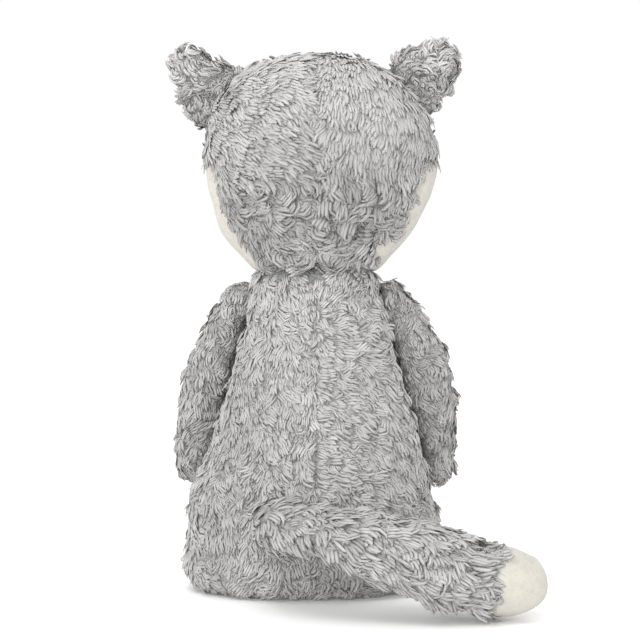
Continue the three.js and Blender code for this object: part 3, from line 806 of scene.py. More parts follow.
@dataclass(frozen=True)
class LockShape:
    """A lock of pile of length one, along +Y from its root, of a few strands that close up at the tip."""

    curl: float
    wave: float
    spread: float = 0.46
    closing: float = 0.1
    closing_power: float = 1.4
    thickness: float = 0.055
    breadth: float = 1.6
    depth: float = 0.6
    shares: tuple[float, ...] = (0.0, 0.26, 0.52, 0.78)
    splay: float = 0.35
    straight_at: float = 0.4
    pitch: float = 0.36
    pitch_fall: float = 0.78
    root_height: float = -0.02
    lanes: tuple[float, ...] = (-1.0, -0.45, 0.3, 1.0)
    ends: tuple[float, ...] = (0.74, 1.0, 0.86, 0.94)
    rises: tuple[float, ...] = (-0.02, 0.01, 0.025, -0.01)
    tones: tuple[float, ...] = (0.5, 1.0, 0.7, 0.85)
    sides: int = 3
    steps: int = 24
    map_edge: float = 0.06

    def spine(self, place: int) -> list[Vector]:
        """Points along one strand.

        Args:
            place: Which strand it is.

        Returns:
            The points from root to tip.
        """
        lane = self.lanes[place]
        middle = Vector((0, 0, self.root_height))
        points = []
        for k in range(self.steps + 1):
            t = k / self.steps
            bend = (self.curl + self.splay * lane) * (t - self.straight_at)
            heading = bend + self.wave * math.sin(2 * math.pi * t)
            pitch = self.pitch - self.pitch_fall * t
            aside = lane * self.spread * 0.5 * (1 - self.closing * t**self.closing_power)
            sideways = Vector((math.cos(heading), -math.sin(heading), 0))
            points.append(middle + sideways * aside + UP * self.rises[place] * math.sin(math.pi * t))
            level = math.cos(pitch)
            step = Vector((math.sin(heading) * level, math.cos(heading) * level, math.sin(pitch)))
            middle = middle + step * (self.ends[place] / self.steps)
        return points

    def mesh(self, name: str) -> Mesh:
        """Makes the lock's mesh, with its own map and its strands' tones.

        Args:
            name: The mesh's name.

        Returns:
            The mesh, with each strand a closed tube.
        """
        built = bmesh.new()
        built.verts.layers.float.new(ALONG)
        built.verts.layers.float.new(STRAND)
        built.loops.layers.uv.new(LOCK_MAP)
        for place in range(len(self.lanes)):
            self.add_strand(built, place)
        built.normal_update()
        mesh = mesh_of(built, name)
        mesh.shade_smooth()
        return mesh

    def radius(self, t: float) -> float:
        """A strand's half-thickness at a share of its length."""
        return self.thickness * (0.75 + 0.35 * math.sin(math.pi * min(t * 1.05, 1)))

    def add_strand(self, built: Built, place: int) -> None:
        """Adds one strand's tube.

        Args:
            built: The lock's mesh.
            place: Which strand it is.
        """
        spine = self.spine(place)
        angles = [math.pi / 2 + 2 * math.pi * j / self.sides for j in range(self.sides)]
        rows = [[self.add_point(built, spine, place, t, a, self.radius(t)) for a in angles] for t in self.shares]
        tip = self.add_point(built, spine, place, 1.0, 0.0, 0.0)
        for (low, high), (a, b) in zip(zip(self.shares, self.shares[1:]), zip(rows, rows[1:])):
            for j in range(self.sides):
                k = (j + 1) % self.sides
                spots = ((low, j), (low, j + 1), (high, j + 1), (high, j))
                self.add_face(built, place, (a[j], a[k], b[k], b[j]), spots)
        end = self.shares[-1]
        for j in range(self.sides):
            corners = (rows[-1][j], rows[-1][(j + 1) % self.sides], tip)
            self.add_face(built, place, corners, ((end, j), (end, j + 1), (1.0, j + 0.5)))
        self.add_face(built, place, tuple(reversed(rows[0])), ((0.0, 2), (0.0, 1), (0.03, 1.5)))

    def add_point(
        self, built: Built, spine: Sequence[Vector], place: int, t: float, angle: float, radius: float
    ) -> bmesh.types.BMVert:
        """Adds a vertex of a strand's tube.

        Args:
            built: The lock's mesh.
            spine: The strand's points.
            place: Which strand it is.
            t: The share of its length.
            angle: The way round it.
            radius: Its half-thickness there.

        Returns:
            The vertex, with its share and its strand's tone.
        """
        last = len(spine) - 1
        k = round(t * last)
        forward = (spine[min(k + 1, last)] - spine[max(k - 1, 0)]).normalized()
        across = forward.cross(UP).normalized()
        over = across.cross(forward)
        wide = across * radius * self.breadth * math.cos(angle)
        vert = built.verts.new(spine[k] + wide + over * radius * self.depth * math.sin(angle))
        vert[built.verts.layers.float[ALONG]] = t
        vert[built.verts.layers.float[STRAND]] = self.tones[place]
        return vert

    def add_face(self, built: Built, place: int, corners: Sequence, spots: Sequence[tuple[float, float]]) -> None:
        """Adds a face, with its spots in the strand's column of the map.

        Args:
            built: The lock's mesh.
            place: Which strand it is.
            corners: The face's vertices.
            spots: For each, the share of the length and the side of the tube.
        """
        column = 1 - 2 * self.map_edge
        for loop, (t, j) in zip(built.faces.new(corners).loops, spots):
            across = (place + self.map_edge + column * j / self.sides) / len(self.lanes)
            loop[built.loops.layers.uv[LOCK_MAP]].uv = (across, t)


WIDE_SET = {"lanes": (-1.0, -0.2, 0.45, 1.1), "ends": (0.95, 0.72, 1.0, 0.8), "rises": (0.02, -0.02, 0.01, 0.0)}
CLOSE_SET = {"lanes": (-0.8, -0.4, 0.1, 0.9), "ends": (0.85, 0.95, 0.7, 1.0), "rises": (0.0, 0.025, -0.01, 0.01)}
LOCK_SHAPES = (
    LockShape(-3.0, -0.1),
    LockShape(-2.2, -0.3, **WIDE_SET),
    LockShape(-1.5, -0.2, **CLOSE_SET),
    LockShape(-0.8, -0.2),
    LockShape(-0.3, -0.3, **WIDE_SET),
    LockShape(0.3, 0.3, **CLOSE_SET),
    LockShape(0.8, 0.2),
    LockShape(1.5, 0.2, **WIDE_SET),
    LockShape(2.2, 0.3, **CLOSE_SET),
    LockShape(3.0, 0.1),
)


class GrowingTree:
    """A geometry node tree with named inputs, which turns a host mesh into finished geometry."""

    name: str = ""
    inputs: tuple[tuple[str, str, float | int | None], ...] = ()

    def __init__(self) -> None:
        """Builds the tree once."""
        self.tree = bpy.data.node_groups.new(self.name, "GeometryNodeTree")
        face = self.tree.interface
        face.new_socket("Geometry", in_out="INPUT", socket_type="NodeSocketGeometry")
        for name, kind, value in self.inputs:
            socket = face.new_socket(name, in_out="INPUT", socket_type=kind)
            if value is not None:
                socket.default_value = value
        face.new_socket("Geometry", in_out="OUTPUT", socket_type="NodeSocketGeometry")
        self.made = NodeTree(self.tree)
        self.given = self.tree.nodes.new("NodeGroupInput").outputs
        self.build()

    def build(self) -> None:
        """Adds the nodes from the host mesh to the output."""
        raise NotImplementedError

    def grown(self, host: Piece, values: dict[str, object]) -> Mesh:
        """Runs the tree on a host, which is then discarded.

        Args:
            host: The piece that the tree starts from.
            values: What goes into the inputs, by their names.

        Returns:
            The finished geometry as a plain mesh.
        """
        modifier = host.modifiers.new(self.name, "NODES")
        modifier.node_group = self.tree
        for item in self.tree.interface.items_tree:
            if item.in_out == "INPUT" and item.name in values:
                modifier[item.identifier] = values[item.name]
        mesh = evaluated_mesh(host)
        discard(host)
        return mesh


class Draw(Enum):
    """The random values of a lock, each with its own shift of the seed."""

    STRAY = 10
    LIFT = 11
    TURN = 12
    ROLL = 13
    LENGTH = 14
    WIDTH = 15
    CURL = 16
    TONE = 17


class PileTree(GrowingTree):
    """Sets locks on a backing whose vertices say how the pile lies."""

    name = "pile_of_locks"
    inputs = (
        ("Locks", "NodeSocketCollection", None),
        ("Finish", "NodeSocketMaterial", None),
        ("Spacing", "NodeSocketFloat", 0.003),
        ("Lock Length", "NodeSocketFloat", 0.01),
        ("Lock Width", "NodeSocketFloat", 1.0),
        ("Lift", "NodeSocketFloat", 0.1),
        ("Lift Spread", "NodeSocketFloat", 0.15),
        ("Turn Spread", "NodeSocketFloat", 0.3),
        ("Size Spread", "NodeSocketFloat", 0.25),
        ("Stray Share", "NodeSocketFloat", 0.1),
        ("Stray Lift", "NodeSocketFloat", 0.3),
        ("Curl Spread", "NodeSocketFloat", 0.2),
        ("Seed", "NodeSocketInt", 1),
    )
    # A lock's tone is part random and part the painted light and shade beneath it.
    own_tone = 0.45
    height_tone = 0.55
    map_share = 0.86

    def build(self) -> None:
        """Adds the nodes: scatter, aim, vary, instance, tone with painted light and shade, map and finish."""
        scatter = self.scattered()
        placed = self.placed(scatter)
        own = self.made.product(self.random(0.0, 1.0, Draw.TONE), self.own_tone)
        # The painted light and shade laid on the backing.
        height = self.made.out(self.read(PAINTED_LIGHT), "Attribute")
        tone_and_painted_light = self.made.math("ADD", own, self.made.product(height, self.height_tone))
        with_tone_and_painted_light = self.store(placed, TONE, "FLOAT", "INSTANCE", tone_and_painted_light)
        real = self.made.add("GeometryNodeRealizeInstances", {"Geometry": self.numbered(with_tone_and_painted_light)})
        bare = self.store(real, BAKE_MAP, "FLOAT2", "CORNER", self.map_place())
        for name in (CELL, CELL_ROWS, LOCK_MAP, FLOW, REACH, CURL, COVERAGE, PAINTED_LIGHT):
            bare = self.made.add("GeometryNodeRemoveAttribute", {"Geometry": bare, "Name": name})
        done = self.made.add("GeometryNodeSetMaterial", {"Geometry": bare, "Material": self.given["Finish"]})
        self.made.add("NodeGroupOutput", {"Geometry": done})

    def scattered(self) -> Node:
        """Points on the backing, a spacing apart, where the pile grows."""
        spacing = self.given["Spacing"]
        return self.made.add(
            "GeometryNodeDistributePointsOnFaces",
            {
                "Mesh": self.given["Geometry"],
                "Distance Min": spacing,
                "Density Max": self.made.math("DIVIDE", 2.0, self.made.product(spacing, spacing)),
                "Density Factor": self.read(COVERAGE),
                "Seed": self.given["Seed"],
            },
            distribute_method="POISSON",
        )

    def placed(self, scatter: Node) -> Node:
        """A lock on each point, aimed along the flow and varied.

        Args:
            scatter: The points' node.

        Returns:
            The node of the locks.
        """
        made, given = self.made, self.given
        axes = {"Primary Axis": made.out(scatter, "Normal"), "Secondary Axis": self.read(FLOW, "FLOAT_VECTOR")}
        aim = made.add("FunctionNodeAxesToRotation", axes, primary_axis="Z", secondary_axis="Y")
        chance = {"Probability": given["Stray Share"], "Seed": self.seed(Draw.STRAY)}
        stray = made.add("FunctionNodeRandomValue", chance, data_type="BOOLEAN")
        lift = made.math("ADD", given["Lift"], self.spread("Lift Spread", Draw.LIFT))
        lift = made.math("ADD", lift, made.product(stray, given["Stray Lift"]))
        roll, turn = self.spread("Lift Spread", Draw.ROLL), self.spread("Turn Spread", Draw.TURN)
        angles = made.add("ShaderNodeCombineXYZ", {"X": lift, "Y": roll, "Z": turn})
        turning = {"Rotation": aim, "Rotate By": made.add("FunctionNodeEulerToRotation", {0: angles})}
        longer = made.math("ADD", 1.0, self.spread("Size Spread", Draw.LENGTH))
        wider = made.math("ADD", 1.0, self.spread("Size Spread", Draw.WIDTH))
        length = made.product(given["Lock Length"], longer, self.read(REACH))
        width = made.product(given["Lock Length"], given["Lock Width"], wider)
        shapes = {"Collection": given["Locks"], "Separate Children": True, "Reset Children": True}
        curl = made.math("ADD", self.read(CURL), self.spread("Curl Spread", Draw.CURL))
        choice = made.ranged(curl, 0.0, len(LOCK_SHAPES) - 0.01, start=-1.0, end=1.0)
        return made.add(
            "GeometryNodeInstanceOnPoints",
            {
                "Points": made.out(scatter, "Points"),
                "Instance": made.add("GeometryNodeCollectionInfo", shapes),
                "Pick Instance": True,
                "Instance Index": made.math("FLOOR", choice),
                "Rotation": made.add("FunctionNodeRotateRotation", turning, rotation_space="LOCAL"),
                "Scale": made.add("ShaderNodeCombineXYZ", {"X": width, "Y": length, "Z": length}),
            },
        )

    def read(self, name: str, kind: str = "FLOAT") -> Node:
        """Reads an attribute by name."""
        return self.made.add("GeometryNodeInputNamedAttribute", {"Name": name}, data_type=kind)

    def store(self, geometry: object, name: str, kind: str, domain: str, value: object) -> Node:
        """Stores a value as an attribute."""
        feeds = {"Geometry": geometry, "Name": name, "Value": value}
        return self.made.add("GeometryNodeStoreNamedAttribute", feeds, data_type=kind, domain=domain)

    def seed(self, draw: Draw) -> Node:
        """A seed of its own for one random value."""
        return self.made.math("ADD", self.given["Seed"], float(draw.value))

    def random(self, low: object, high: object, draw: Draw) -> Node:
        """A random number for each lock."""
        feeds = {"Min": low, "Max": high, "Seed": self.seed(draw)}
        return self.made.add("FunctionNodeRandomValue", feeds, data_type="FLOAT")

    def spread(self, reach: str, draw: Draw) -> Node:
        """A random number to each side of zero, as far as an input says."""
        return self.random(self.made.product(self.given[reach], -1.0), self.given[reach], draw)

    def numbered(self, locks: Node) -> Node:
        """Numbers the locks and stores how many rows of cells their square map needs.

        Args:
            locks: The node of the locks.

        Returns:
            The last node.
        """
        celled = self.store(locks, CELL, "FLOAT", "INSTANCE", self.made.add("GeometryNodeInputIndex"))
        count = self.made.add("GeometryNodeAttributeDomainSize", {0: celled}, component="INSTANCES")
        rows = self.made.math("CEIL", self.made.math("SQRT", self.made.out(count, "Instance Count")))
        return self.store(celled, CELL_ROWS, "FLOAT", "INSTANCE", self.made.math("MAXIMUM", rows, 1.0))

    def map_place(self) -> Node:
        """A lock's own cell in the square map, so that no two locks share a place."""
        made = self.made
        cell, rows = self.read(CELL), self.read(CELL_ROWS)
        row = made.math("FLOOR", made.math("DIVIDE", cell, rows))
        corner = made.add("ShaderNodeCombineXYZ", {"X": made.math("MODULO", cell, rows), "Y": row})
        share, edge = self.map_share, (1 - self.map_share) / 2
        own = self.read(LOCK_MAP, "FLOAT_VECTOR")
        shrunk = made.math("MULTIPLY", own, (share, share, 0), kind="ShaderNodeVectorMath")
        inside = made.math("ADD", shrunk, (edge, edge, 0), kind="ShaderNodeVectorMath")
        total = made.math("ADD", corner, inside, kind="ShaderNodeVectorMath")
        side = made.add("ShaderNodeCombineXYZ", {"X": rows, "Y": rows, "Z": 1.0})
        return made.math("DIVIDE", total, side, kind="ShaderNodeVectorMath")


@dataclass(frozen=True)
class Pile:
    """How the pile of one region stands: how long and close its locks are and how they lie."""

    spacing: float
    lock_length: float
    lock_width: float = 1.0
    lift: float = 0.06
    lift_spread: float = 0.12
    turn_spread: float = 0.35
    size_spread: float = 0.22
    stray_share: float = 0.05
    stray_lift: float = 0.3
    swirl: float = 1.0
    swirl_size: float = 30 * MM
    ruffle: float = 0.6
    ruffle_size: float = 9 * MM
    curl: float = 0.7
    curl_size: float = 14 * MM
    curl_spread: float = 0.3

    def values(self) -> dict[str, float]:
        """The fields by the names of the tree's inputs."""
        return {f.name.replace("_", " ").title(): getattr(self, f.name) for f in fields(self)}


class Barber:
    """Grows piles on backings, with one tree and one set of lock shapes."""

    first_seed = 21
    pressed_share = 0.02

    def __init__(self, wardrobe: Wardrobe) -> None:
        """Makes the tree and the lock shapes.

        Args:
            wardrobe: The finishes, of which the pile's is used.
        """
        self.tree = PileTree()
        self.finish = wardrobe.pile
        self.locks = bpy.data.collections.new("lock_shapes")
        for k, shape in enumerate(LOCK_SHAPES):
            name = f"lock_shape_{k}"
            self.locks.objects.link(bpy.data.objects.new(name, shape.mesh(name)))
        self.seed = self.first_seed

    def grow(self, name: str, backing: Mesh, pile: Pile) -> Piece:
        """Grows a pile on a backing and presses it to the floor where it reaches below.

        Args:
            name: The new piece's name.
            backing: A mesh with the flow, reach, coverage and painted light and shade of the pile on its vertices.
            pile: How the pile stands.

        Returns:
            The pile as a plain mesh.
        """
        host = piece_from(f"{name}_host", backing)
        given = {"Locks": self.locks, "Finish": self.finish, "Seed": self.seed}
        mesh = self.tree.grown(host, pile.values() | given)
        self.seed += 1
        points = places(mesh)
        low = points[:, 2] < FLOOR_CLEARANCE
        pressed = self.pressed_share * (points[low, 2] - points[low, 2].min(initial=0.0))
        points[low, 2] = FLOOR_CLEARANCE + pressed
        move_to(mesh, points)
        return piece_from(name, mesh)

    def close(self) -> None:
        """Removes the lock shapes, which aren't pieces of the fox."""
        for shape in list(self.locks.objects):
            discard(shape)
        bpy.data.collections.remove(self.locks)


# Covers


@dataclass(frozen=True)
class Swell:
    """A rise of a value about a point, which fades away around it, or a fall where it is below zero."""

    centre: Point
    radius: float
    amount: float


def swells_from(*rows: tuple[float, ...]) -> tuple[Swell, ...]:
    """Swells of a length, from rows of a centre, a radius and an amount in millimetres."""
    return tuple(Swell((x * MM, y * MM, z * MM), radius * MM, amount * MM) for x, y, z, radius, amount in rows)


def shares_from(*rows: tuple[float, ...]) -> tuple[Swell, ...]:
    """Swells of a share, from rows of a centre and a radius in millimetres and the share."""
    return tuple(Swell((x * MM, y * MM, z * MM), radius * MM, share) for x, y, z, radius, share in rows)


def swollen(points: Rows, swells: Sequence[Swell]) -> Rows:
    """What swells add up to at points.

    Args:
        points: The points.
        swells: The swells.

    Returns:
        A value for each point.
    """
    total = np.zeros(len(points))
    for swell in swells:
        away = np.linalg.norm(points - np.array(swell.centre), axis=1) / swell.radius
        total += swell.amount * np.exp(-(away**2))
    return total


@dataclass(frozen=True)
class Plug:
    """A rounded filling about a line, which looks the same however its limb turns about that line."""

    centre: Point
    along: Point
    half_length: float
    radius: float
    segments: int = 20
    rings: int = 12

    def add_to(self, built: Built) -> None:
        """Adds the filling to a form that is about to be closed over.

        Args:
            built: The form.
        """
        turn = Vector(self.along).to_track_quat("Z", "Y").to_matrix().to_4x4()
        size = Matrix.Diagonal((self.radius, self.radius, self.half_length, 1))
        place = Matrix.Translation(self.centre) @ turn @ size
        bmesh.ops.create_uvsphere(built, u_segments=self.segments, v_segments=self.rings, radius=1, matrix=place)


@dataclass(frozen=True)
class Region:
    """One grey panel, with its pile and the way that it lies."""

    node: str
    pile: Pile
    lay: Point = (0, 0, -1)


@dataclass
class Part:
    """A share of a cover that becomes a skin of its own."""

    name: str
    mesh: Mesh
    region: Region | None = None
    stands_for: tuple[str, ...] = ()


class Workshop:
    """What every sub-assembly is built with."""

    def __init__(self, frame: dict) -> None:
        """Makes the finishes, the pile's tools and the distances.

        Args:
            frame: What the frame's loading returned.
        """
        self.wardrobe = Wardrobe()
        self.barber = Barber(self.wardrobe)
        self.near = Nearness()
        self.joints = {joint["name"]: joint for joint in frame["joints"]}


@dataclass
class Cover:
    """A sewn cover over its stuffing, from the frame's own panels.

    The swells raise the skin, the tufts lengthen the pile, and the painted shading lightens and darkens the
    pile as painted light and shade. The nodes beside the cover crease it, keep its pile short and darken it
    there as painted shade. The shares that have no unit run from 0 to about 1.
    """

    shop: Workshop
    body: str = ""
    greys: tuple[Region, ...] = ()
    creams: tuple[str, ...] = ()
    inner: tuple[str, ...] = ()
    beside: tuple[str, ...] = ()
    plugs: tuple[Plug, ...] = ()
    swells: tuple[Swell, ...] = ()
    tufts: tuple[Swell, ...] = ()
    # Places where the pile is lightened with painted light and darkened with painted shade.
    shades: tuple[Swell, ...] = ()
    shift: Point = (0, 0, 0)

    weld: float = 0.01 * MM
    voxel: float = 4 * MM
    smoothing: int = 6
    restored: float = 2 * MM
    restored_rounds: int = 4
    soft_rounds: int = 20
    puff_cap: float = 2 * MM
    quick_puff: float = 0.6
    puff_widening: float = 1.6
    wall: float = 1.6 * MM
    fill: float = 0.75

    grey_inset: float = 2.2 * MM
    cream_inset: float = 0.6 * MM
    inset_blend: float = 6 * MM
    seam_depth: float = 1.4 * MM
    seam_width: float = 4 * MM
    cream_seam: float = 0.4
    lump: float = 1.6 * MM
    lump_size: float = 34 * MM
    crease: float = 1.5 * MM
    crease_reach: float = 6 * MM
    wander: float = 2.5 * MM
    wander_size: float = 16 * MM

    tuft: float = 1.5 * MM
    tuft_size: float = 7 * MM
    tuft_gain: float = 1.6
    tuft_limits: tuple[float, float] = (0.4, 1.4)
    tuft_reach: float = 0.15
    # Painted light and shade of the pile: higher tufts paler over darker hollows, each part's own painted lightness
    # and a middle level.
    tuft_shade: float = 0.35
    nap: float = 0.0
    middle_shade: float = 0.5
    overhang: float = 1.6
    overhang_reach: float = 5 * MM
    turn_gain: float = 1.6
    curl_gain: float = 2.2
    reach_spread: float = 0.25
    reach_size: float = 20 * MM
    seam_trim: float = 0.2
    rooted: float = 0.45
    rooted_start: float = 2 * MM
    rooted_rise: float = 10 * MM
    # Painted shade in the creases next to the nodes beside the cover, and how far it reaches.
    hidden_shade: float = 1.2
    hidden_reach: float = 5 * MM
    close_gap: float = 4 * MM
    bare_height: float = 3 * MM
    bare_slope: float = -0.5

    @property
    def panels(self) -> tuple[str, ...]:
        """The nodes of the cover itself."""
        return (*(region.node for region in self.greys), *self.creams)

    def softness(self, points: Rows) -> Rows:
        """Where the form is rounded off further, from 0 to 1."""
        return np.zeros(len(points))

    def wandering(self, points: Rows) -> Rows:
        """Where the cream panels' edges wander, from 0 to 1."""
        return np.ones(len(points))

    def growth(self, points: Rows, normals: Rows) -> Rows:
        """Where the pile grows, from 0 to 1."""
        return np.ones(len(points))

    def curliness(self, points: Rows) -> Rows:
        """How many times as curly as its region's pile each place is."""
        return np.ones(len(points))

    def flow(self, points: Rows, region: Region) -> Rows:
        """The direction in which a region's pile lies before it swirls."""
        return np.tile(np.array(region.lay, float), (len(points), 1))

    def build(self) -> list[Part]:
        """Makes the skin, its cream panels and its piles, and hangs them on the frame.

        Returns:
            The cover's parts.
        """
        piece = self.closed_form()
        self.puff(piece)
        self.finish_shape(piece)
        parts = self.split(piece)
        discard(piece)
        for part in parts:
            self.add_part(part)
        return parts

    def distances(self, points: Rows, nodes: Sequence[str]) -> Rows:
        """Distances from points to nodes, with a row for each point and a column for each node."""
        return self.shop.near.distances(points, nodes)

    def closed_form(self) -> Piece:
        """Closes the panels, their stuffing and the plugs over into one skin of even faces.

        Returns:
            The skin, brought back out to the panels after it was smoothed.
        """
        built = bmesh.new()
        for node in (*self.panels, *self.inner):
            built.from_mesh(bpy.data.objects[node].data)
        bmesh.ops.remove_doubles(built, verts=built.verts, dist=self.weld)
        for plug in self.plugs:
            plug.add_to(built)
        outline = BVHTree.FromBMesh(built)
        piece = piece_from(f"{self.body}_form", mesh_of(built, self.body))
        remeshed(piece, self.voxel)
        built = built_from(piece.data)
        largest_part(built)
        built.to_mesh(piece.data)
        built.free()
        smoothed(piece.data, self.smoothing)
        self.restore(piece.data, outline)
        smoothed(piece.data, self.soft_rounds, self.softness(places(piece.data)))
        return piece

    def restore(self, mesh: Mesh, outline: BVHTree) -> None:
        """Moves a smoothed skin back out to the form that it was made from.

        Args:
            mesh: The skin.
            outline: The form's surface.
        """
        points, normals = places(mesh), directions(mesh)
        steps = np.zeros(len(points))
        for k, (point, normal) in enumerate(zip(points, normals)):
            nearest = outline.find_nearest(Vector(point))[0]
            steps[k] = float(np.dot(np.array(nearest) - point, normal))
        steps = averaged(mesh, np.clip(steps, -self.restored, self.restored), self.restored_rounds)
        move_to(mesh, points + normals * steps[:, None])

    def puff(self, piece: Piece) -> None:
        """Lets the stuffing swell the panels between their seams, by a cloth simulation with a capped reach.

        Args:
            piece: The skin.
        """
        before = places(piece.data)
        held = self.seam_shares(self.distances(before, self.panels), self.puff_widening)
        steps = self.simulated(piece, held) - before
        lengths = np.linalg.norm(steps, axis=1, keepdims=True)
        steps *= np.minimum(1, self.puff_cap / np.maximum(lengths, TINY))
        move_to(piece.data, before + steps)
        smoothed(piece.data, 1)

    @staticmethod
    def simulated(piece: Piece, held: Rows) -> Rows:
        """Where the skin's vertices are after the stuffing has pressed on it.

        Args:
            piece: The skin.
            held: How firmly each vertex is held, from 0 to 1.

        Returns:
            The vertices' places.
        """
        group = piece.vertex_groups.new(name="seams")
        for index, share in enumerate(held):
            group.add([index], float(min(1.0, share)), "REPLACE")
        cloth = piece.modifiers.new("cloth", "CLOTH")
        for name, value in CLOTH_SETTINGS.items():
            setattr(cloth.settings, name, value)
        cloth.settings.effector_weights.gravity = 0
        cloth.settings.vertex_group_mass = group.name
        cloth.point_cache.frame_start = 1
        cloth.point_cache.frame_end = PUFF_FRAMES
        for frame in range(1, PUFF_FRAMES + 1):
            bpy.context.scene.frame_set(frame)
        mesh = evaluated_mesh(piece)
        after = places(mesh)
        piece.modifiers.clear()
        piece.vertex_groups.clear()
        bpy.data.meshes.remove(mesh)
        bpy.context.scene.frame_set(1)
        return after

    def seam_shares(self, distances: Rows, widening: float = 1.0) -> Rows:
        """How close each point is to a seam, from 1 on it to 0 away from it.

        Args:
            distances: The distances to the panels, with a row for each point.
            widening: How many times as wide as the seam the shares reach.

        Returns:
            A share for each point.
        """
        if distances.shape[1] < 2:
            return np.zeros(len(distances))
        two = np.sort(distances, axis=1)[:, :2]
        return np.exp(-(((two[:, 1] - two[:, 0]) / (self.seam_width * widening)) ** 2))

    def finish_shape(self, piece: Piece) -> None:
        """Refines the skin, draws in its seams, lays it under the pile and adds the lumps of the stuffing.

        Args:
            piece: The skin.
        """
        finer = piece.modifiers.new("finer", "SUBSURF")
        finer.levels = finer.render_levels = 1
        baked(piece)
        points = places(piece.data)
        steps = self.steps(points)
        points = points + directions(piece.data) * steps[:, None] + np.array(self.shift)
        points[:, 2] = np.maximum(points[:, 2], FLOOR_CLEARANCE)
        move_to(piece.data, points)

    def steps(self, points: Rows) -> Rows:
        """How far the skin moves outwards.

        Args:
            points: The skin's vertices.

        Returns:
            A length for each vertex.
        """
        distances = self.distances(points, self.panels)
        grey_side = distances[:, : len(self.greys)].min(axis=1)
        cream_side = distances[:, len(self.greys) :].min(axis=1) if self.creams else grey_side + 1
        grey = np.clip(0.5 + (cream_side - grey_side) / self.inset_blend, 0, 1)
        inset = self.cream_inset + grey * (self.grey_inset - self.cream_inset)
        seam = self.cream_seam + (1 - self.cream_seam) * grey
        inset = inset + self.seam_depth * self.seam_shares(distances) * seam
        lumps = self.lump * noise_field(points, self.lump_size, Field.LUMPS)
        lumps += self.tuft * self.tuft_height(points)
        steps = lumps * grey - inset
        if self.beside:
            gap = self.distances(points, self.beside).min(axis=1)
            steps -= self.crease * grey * fading(gap, self.crease_reach)
        return steps + swollen(points, self.swells)

    def tuft_height(self, points: Rows) -> Rows:
        """How high the tufts of pile stand at points."""
        height = self.tuft_gain * noise_field(points, self.tuft_size, Field.TUFTS)
        return np.clip(height, -1, 1) * np.clip(self.curliness(points), *self.tuft_limits)

    def panel_distances(self, points: Rows) -> Rows:
        """Distances to the panels, with the cream ones' edges wandering a little.

        Args:
            points: The points.

        Returns:
            A row for each point, with a column for each panel.
        """
        distances = self.distances(points, self.panels)
        if self.creams:
            field = noise_field(points, self.wander_size, Field.WANDER)
            wander = self.wander * self.wandering(points) * field
            distances[:, len(self.greys) :] += wander[:, None]
        return distances

    def cut(self, built: Built) -> None:
        """Cuts the skin along the seams between grey and cream.

        Args:
            built: The skin.
        """
        for column in range(len(self.greys), len(self.panels)):
            points = np.array([v.co[:] for v in built.verts])
            distances = self.panel_distances(points)
            others = np.delete(distances, column, axis=1).min(axis=1)
            cut_where_zero(built, distances[:, column] - others)

    def split(self, piece: Piece) -> list[Part]:
        """Divides the skin into its panels.

        Args:
            piece: The whole skin.

        Returns:
            A part for each panel, of which the first stands for the stuffing too.
        """
        built = built_from(piece.data)
        self.cut(built)
        centres = np.array([f.calc_center_median()[:] for f in built.faces])
        nearest = self.panel_distances(centres).argmin(axis=1)
        regions = {region.node: region for region in self.greys}
        parts = []
        for k, node in enumerate(self.panels):
            name, mesh = node.replace("_panel", ""), part_of(built, nearest == k)
            parts.append(Part(name, mesh, regions.get(node), (node, *self.inner) if k == 0 else (node,)))
        built.free()
        return parts

    def add_part(self, part: Part) -> None:
        """Adds one part's skin, and its pile where it is grey.

        Args:
            part: The part.
        """
        slot, finish = Slot.CREAM, self.shop.wardrobe.velour
        if part.region:
            slot, finish = Slot.GREY, self.shop.wardrobe.backing
            host = part.mesh.copy()
            self.lay_pile(host, part.region)
            self.hang(self.shop.barber.grow(f"{part.name}_pile", host, part.region.pile), part, slot)
        skin = piece_from(f"{part.name}_cover", part.mesh, finish)
        wall = skin.modifiers.new("wall", "SOLIDIFY")
        wall.thickness = self.wall
        wall.offset = -1
        baked(skin)
        skin.data.shade_smooth()
        self.hang(skin, part, slot)
        if part.stands_for:
            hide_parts(*part.stands_for)

    def hang(self, piece: Piece, part: Part, slot: Slot) -> None:
        """Puts a piece on the cover's body."""
        hung(piece, slot, self.body)

    def lay_pile(self, mesh: Mesh, region: Region) -> None:
        """Writes on a backing's vertices how its pile lies, how long it is, its painted light and shade, and where it
        grows.

        Args:
            mesh: The backing.
            region: The panel that it is.
        """
        points, normals = places(mesh), directions(mesh)
        curl = region.pile.curl * self.curl_gain * noise_field(points, region.pile.curl_size, Field.CURL)
        height = self.tuft_height(points)
        reach = 1 + self.reach_spread * noise_field(points, self.reach_size, Field.REACH)
        reach = reach + self.tuft_reach * height + swollen(points, self.tufts)
        reach *= 1 - self.seam_trim * self.seam_shares(self.distances(points, self.panels))
        coverage = self.growth(points, normals)
        coverage[(points[:, 2] < self.bare_height) & (normals[:, 2] < self.bare_slope)] = 0
        if self.beside:
            gap = self.distances(points, self.beside).min(axis=1)
            reach *= np.clip(self.rooted + (gap - self.rooted_start) / self.rooted_rise, self.rooted, 1)
            # The pile is darkened next to the nodes beside the cover as painted shade in the crease.
            height = height - self.hidden_shade * fading(gap, self.hidden_reach)
            coverage[gap < self.close_gap / 2] = 0
        # Painted light and shade of the pile: the part's lightness, its places of painted light and shade, and paler
        # tufts over darker hollows.
        shade = self.middle_shade + self.nap + swollen(points, self.shades) + self.tuft_shade * height
        layer = mesh.attributes.new(FLOW, "FLOAT_VECTOR", "POINT")
        flow = self.swirled(points, normals, region)
        layer.data.foreach_set("vector", flow.astype(np.float32).ravel())
        curl = np.clip(curl * self.curliness(points), -1, 1)
        for name, values in ((REACH, reach), (CURL, curl), (COVERAGE, coverage), (PAINTED_LIGHT, shade)):
            layer = mesh.attributes.new(name, "FLOAT", "POINT")
            layer.data.foreach_set("value", values.astype(np.float32))

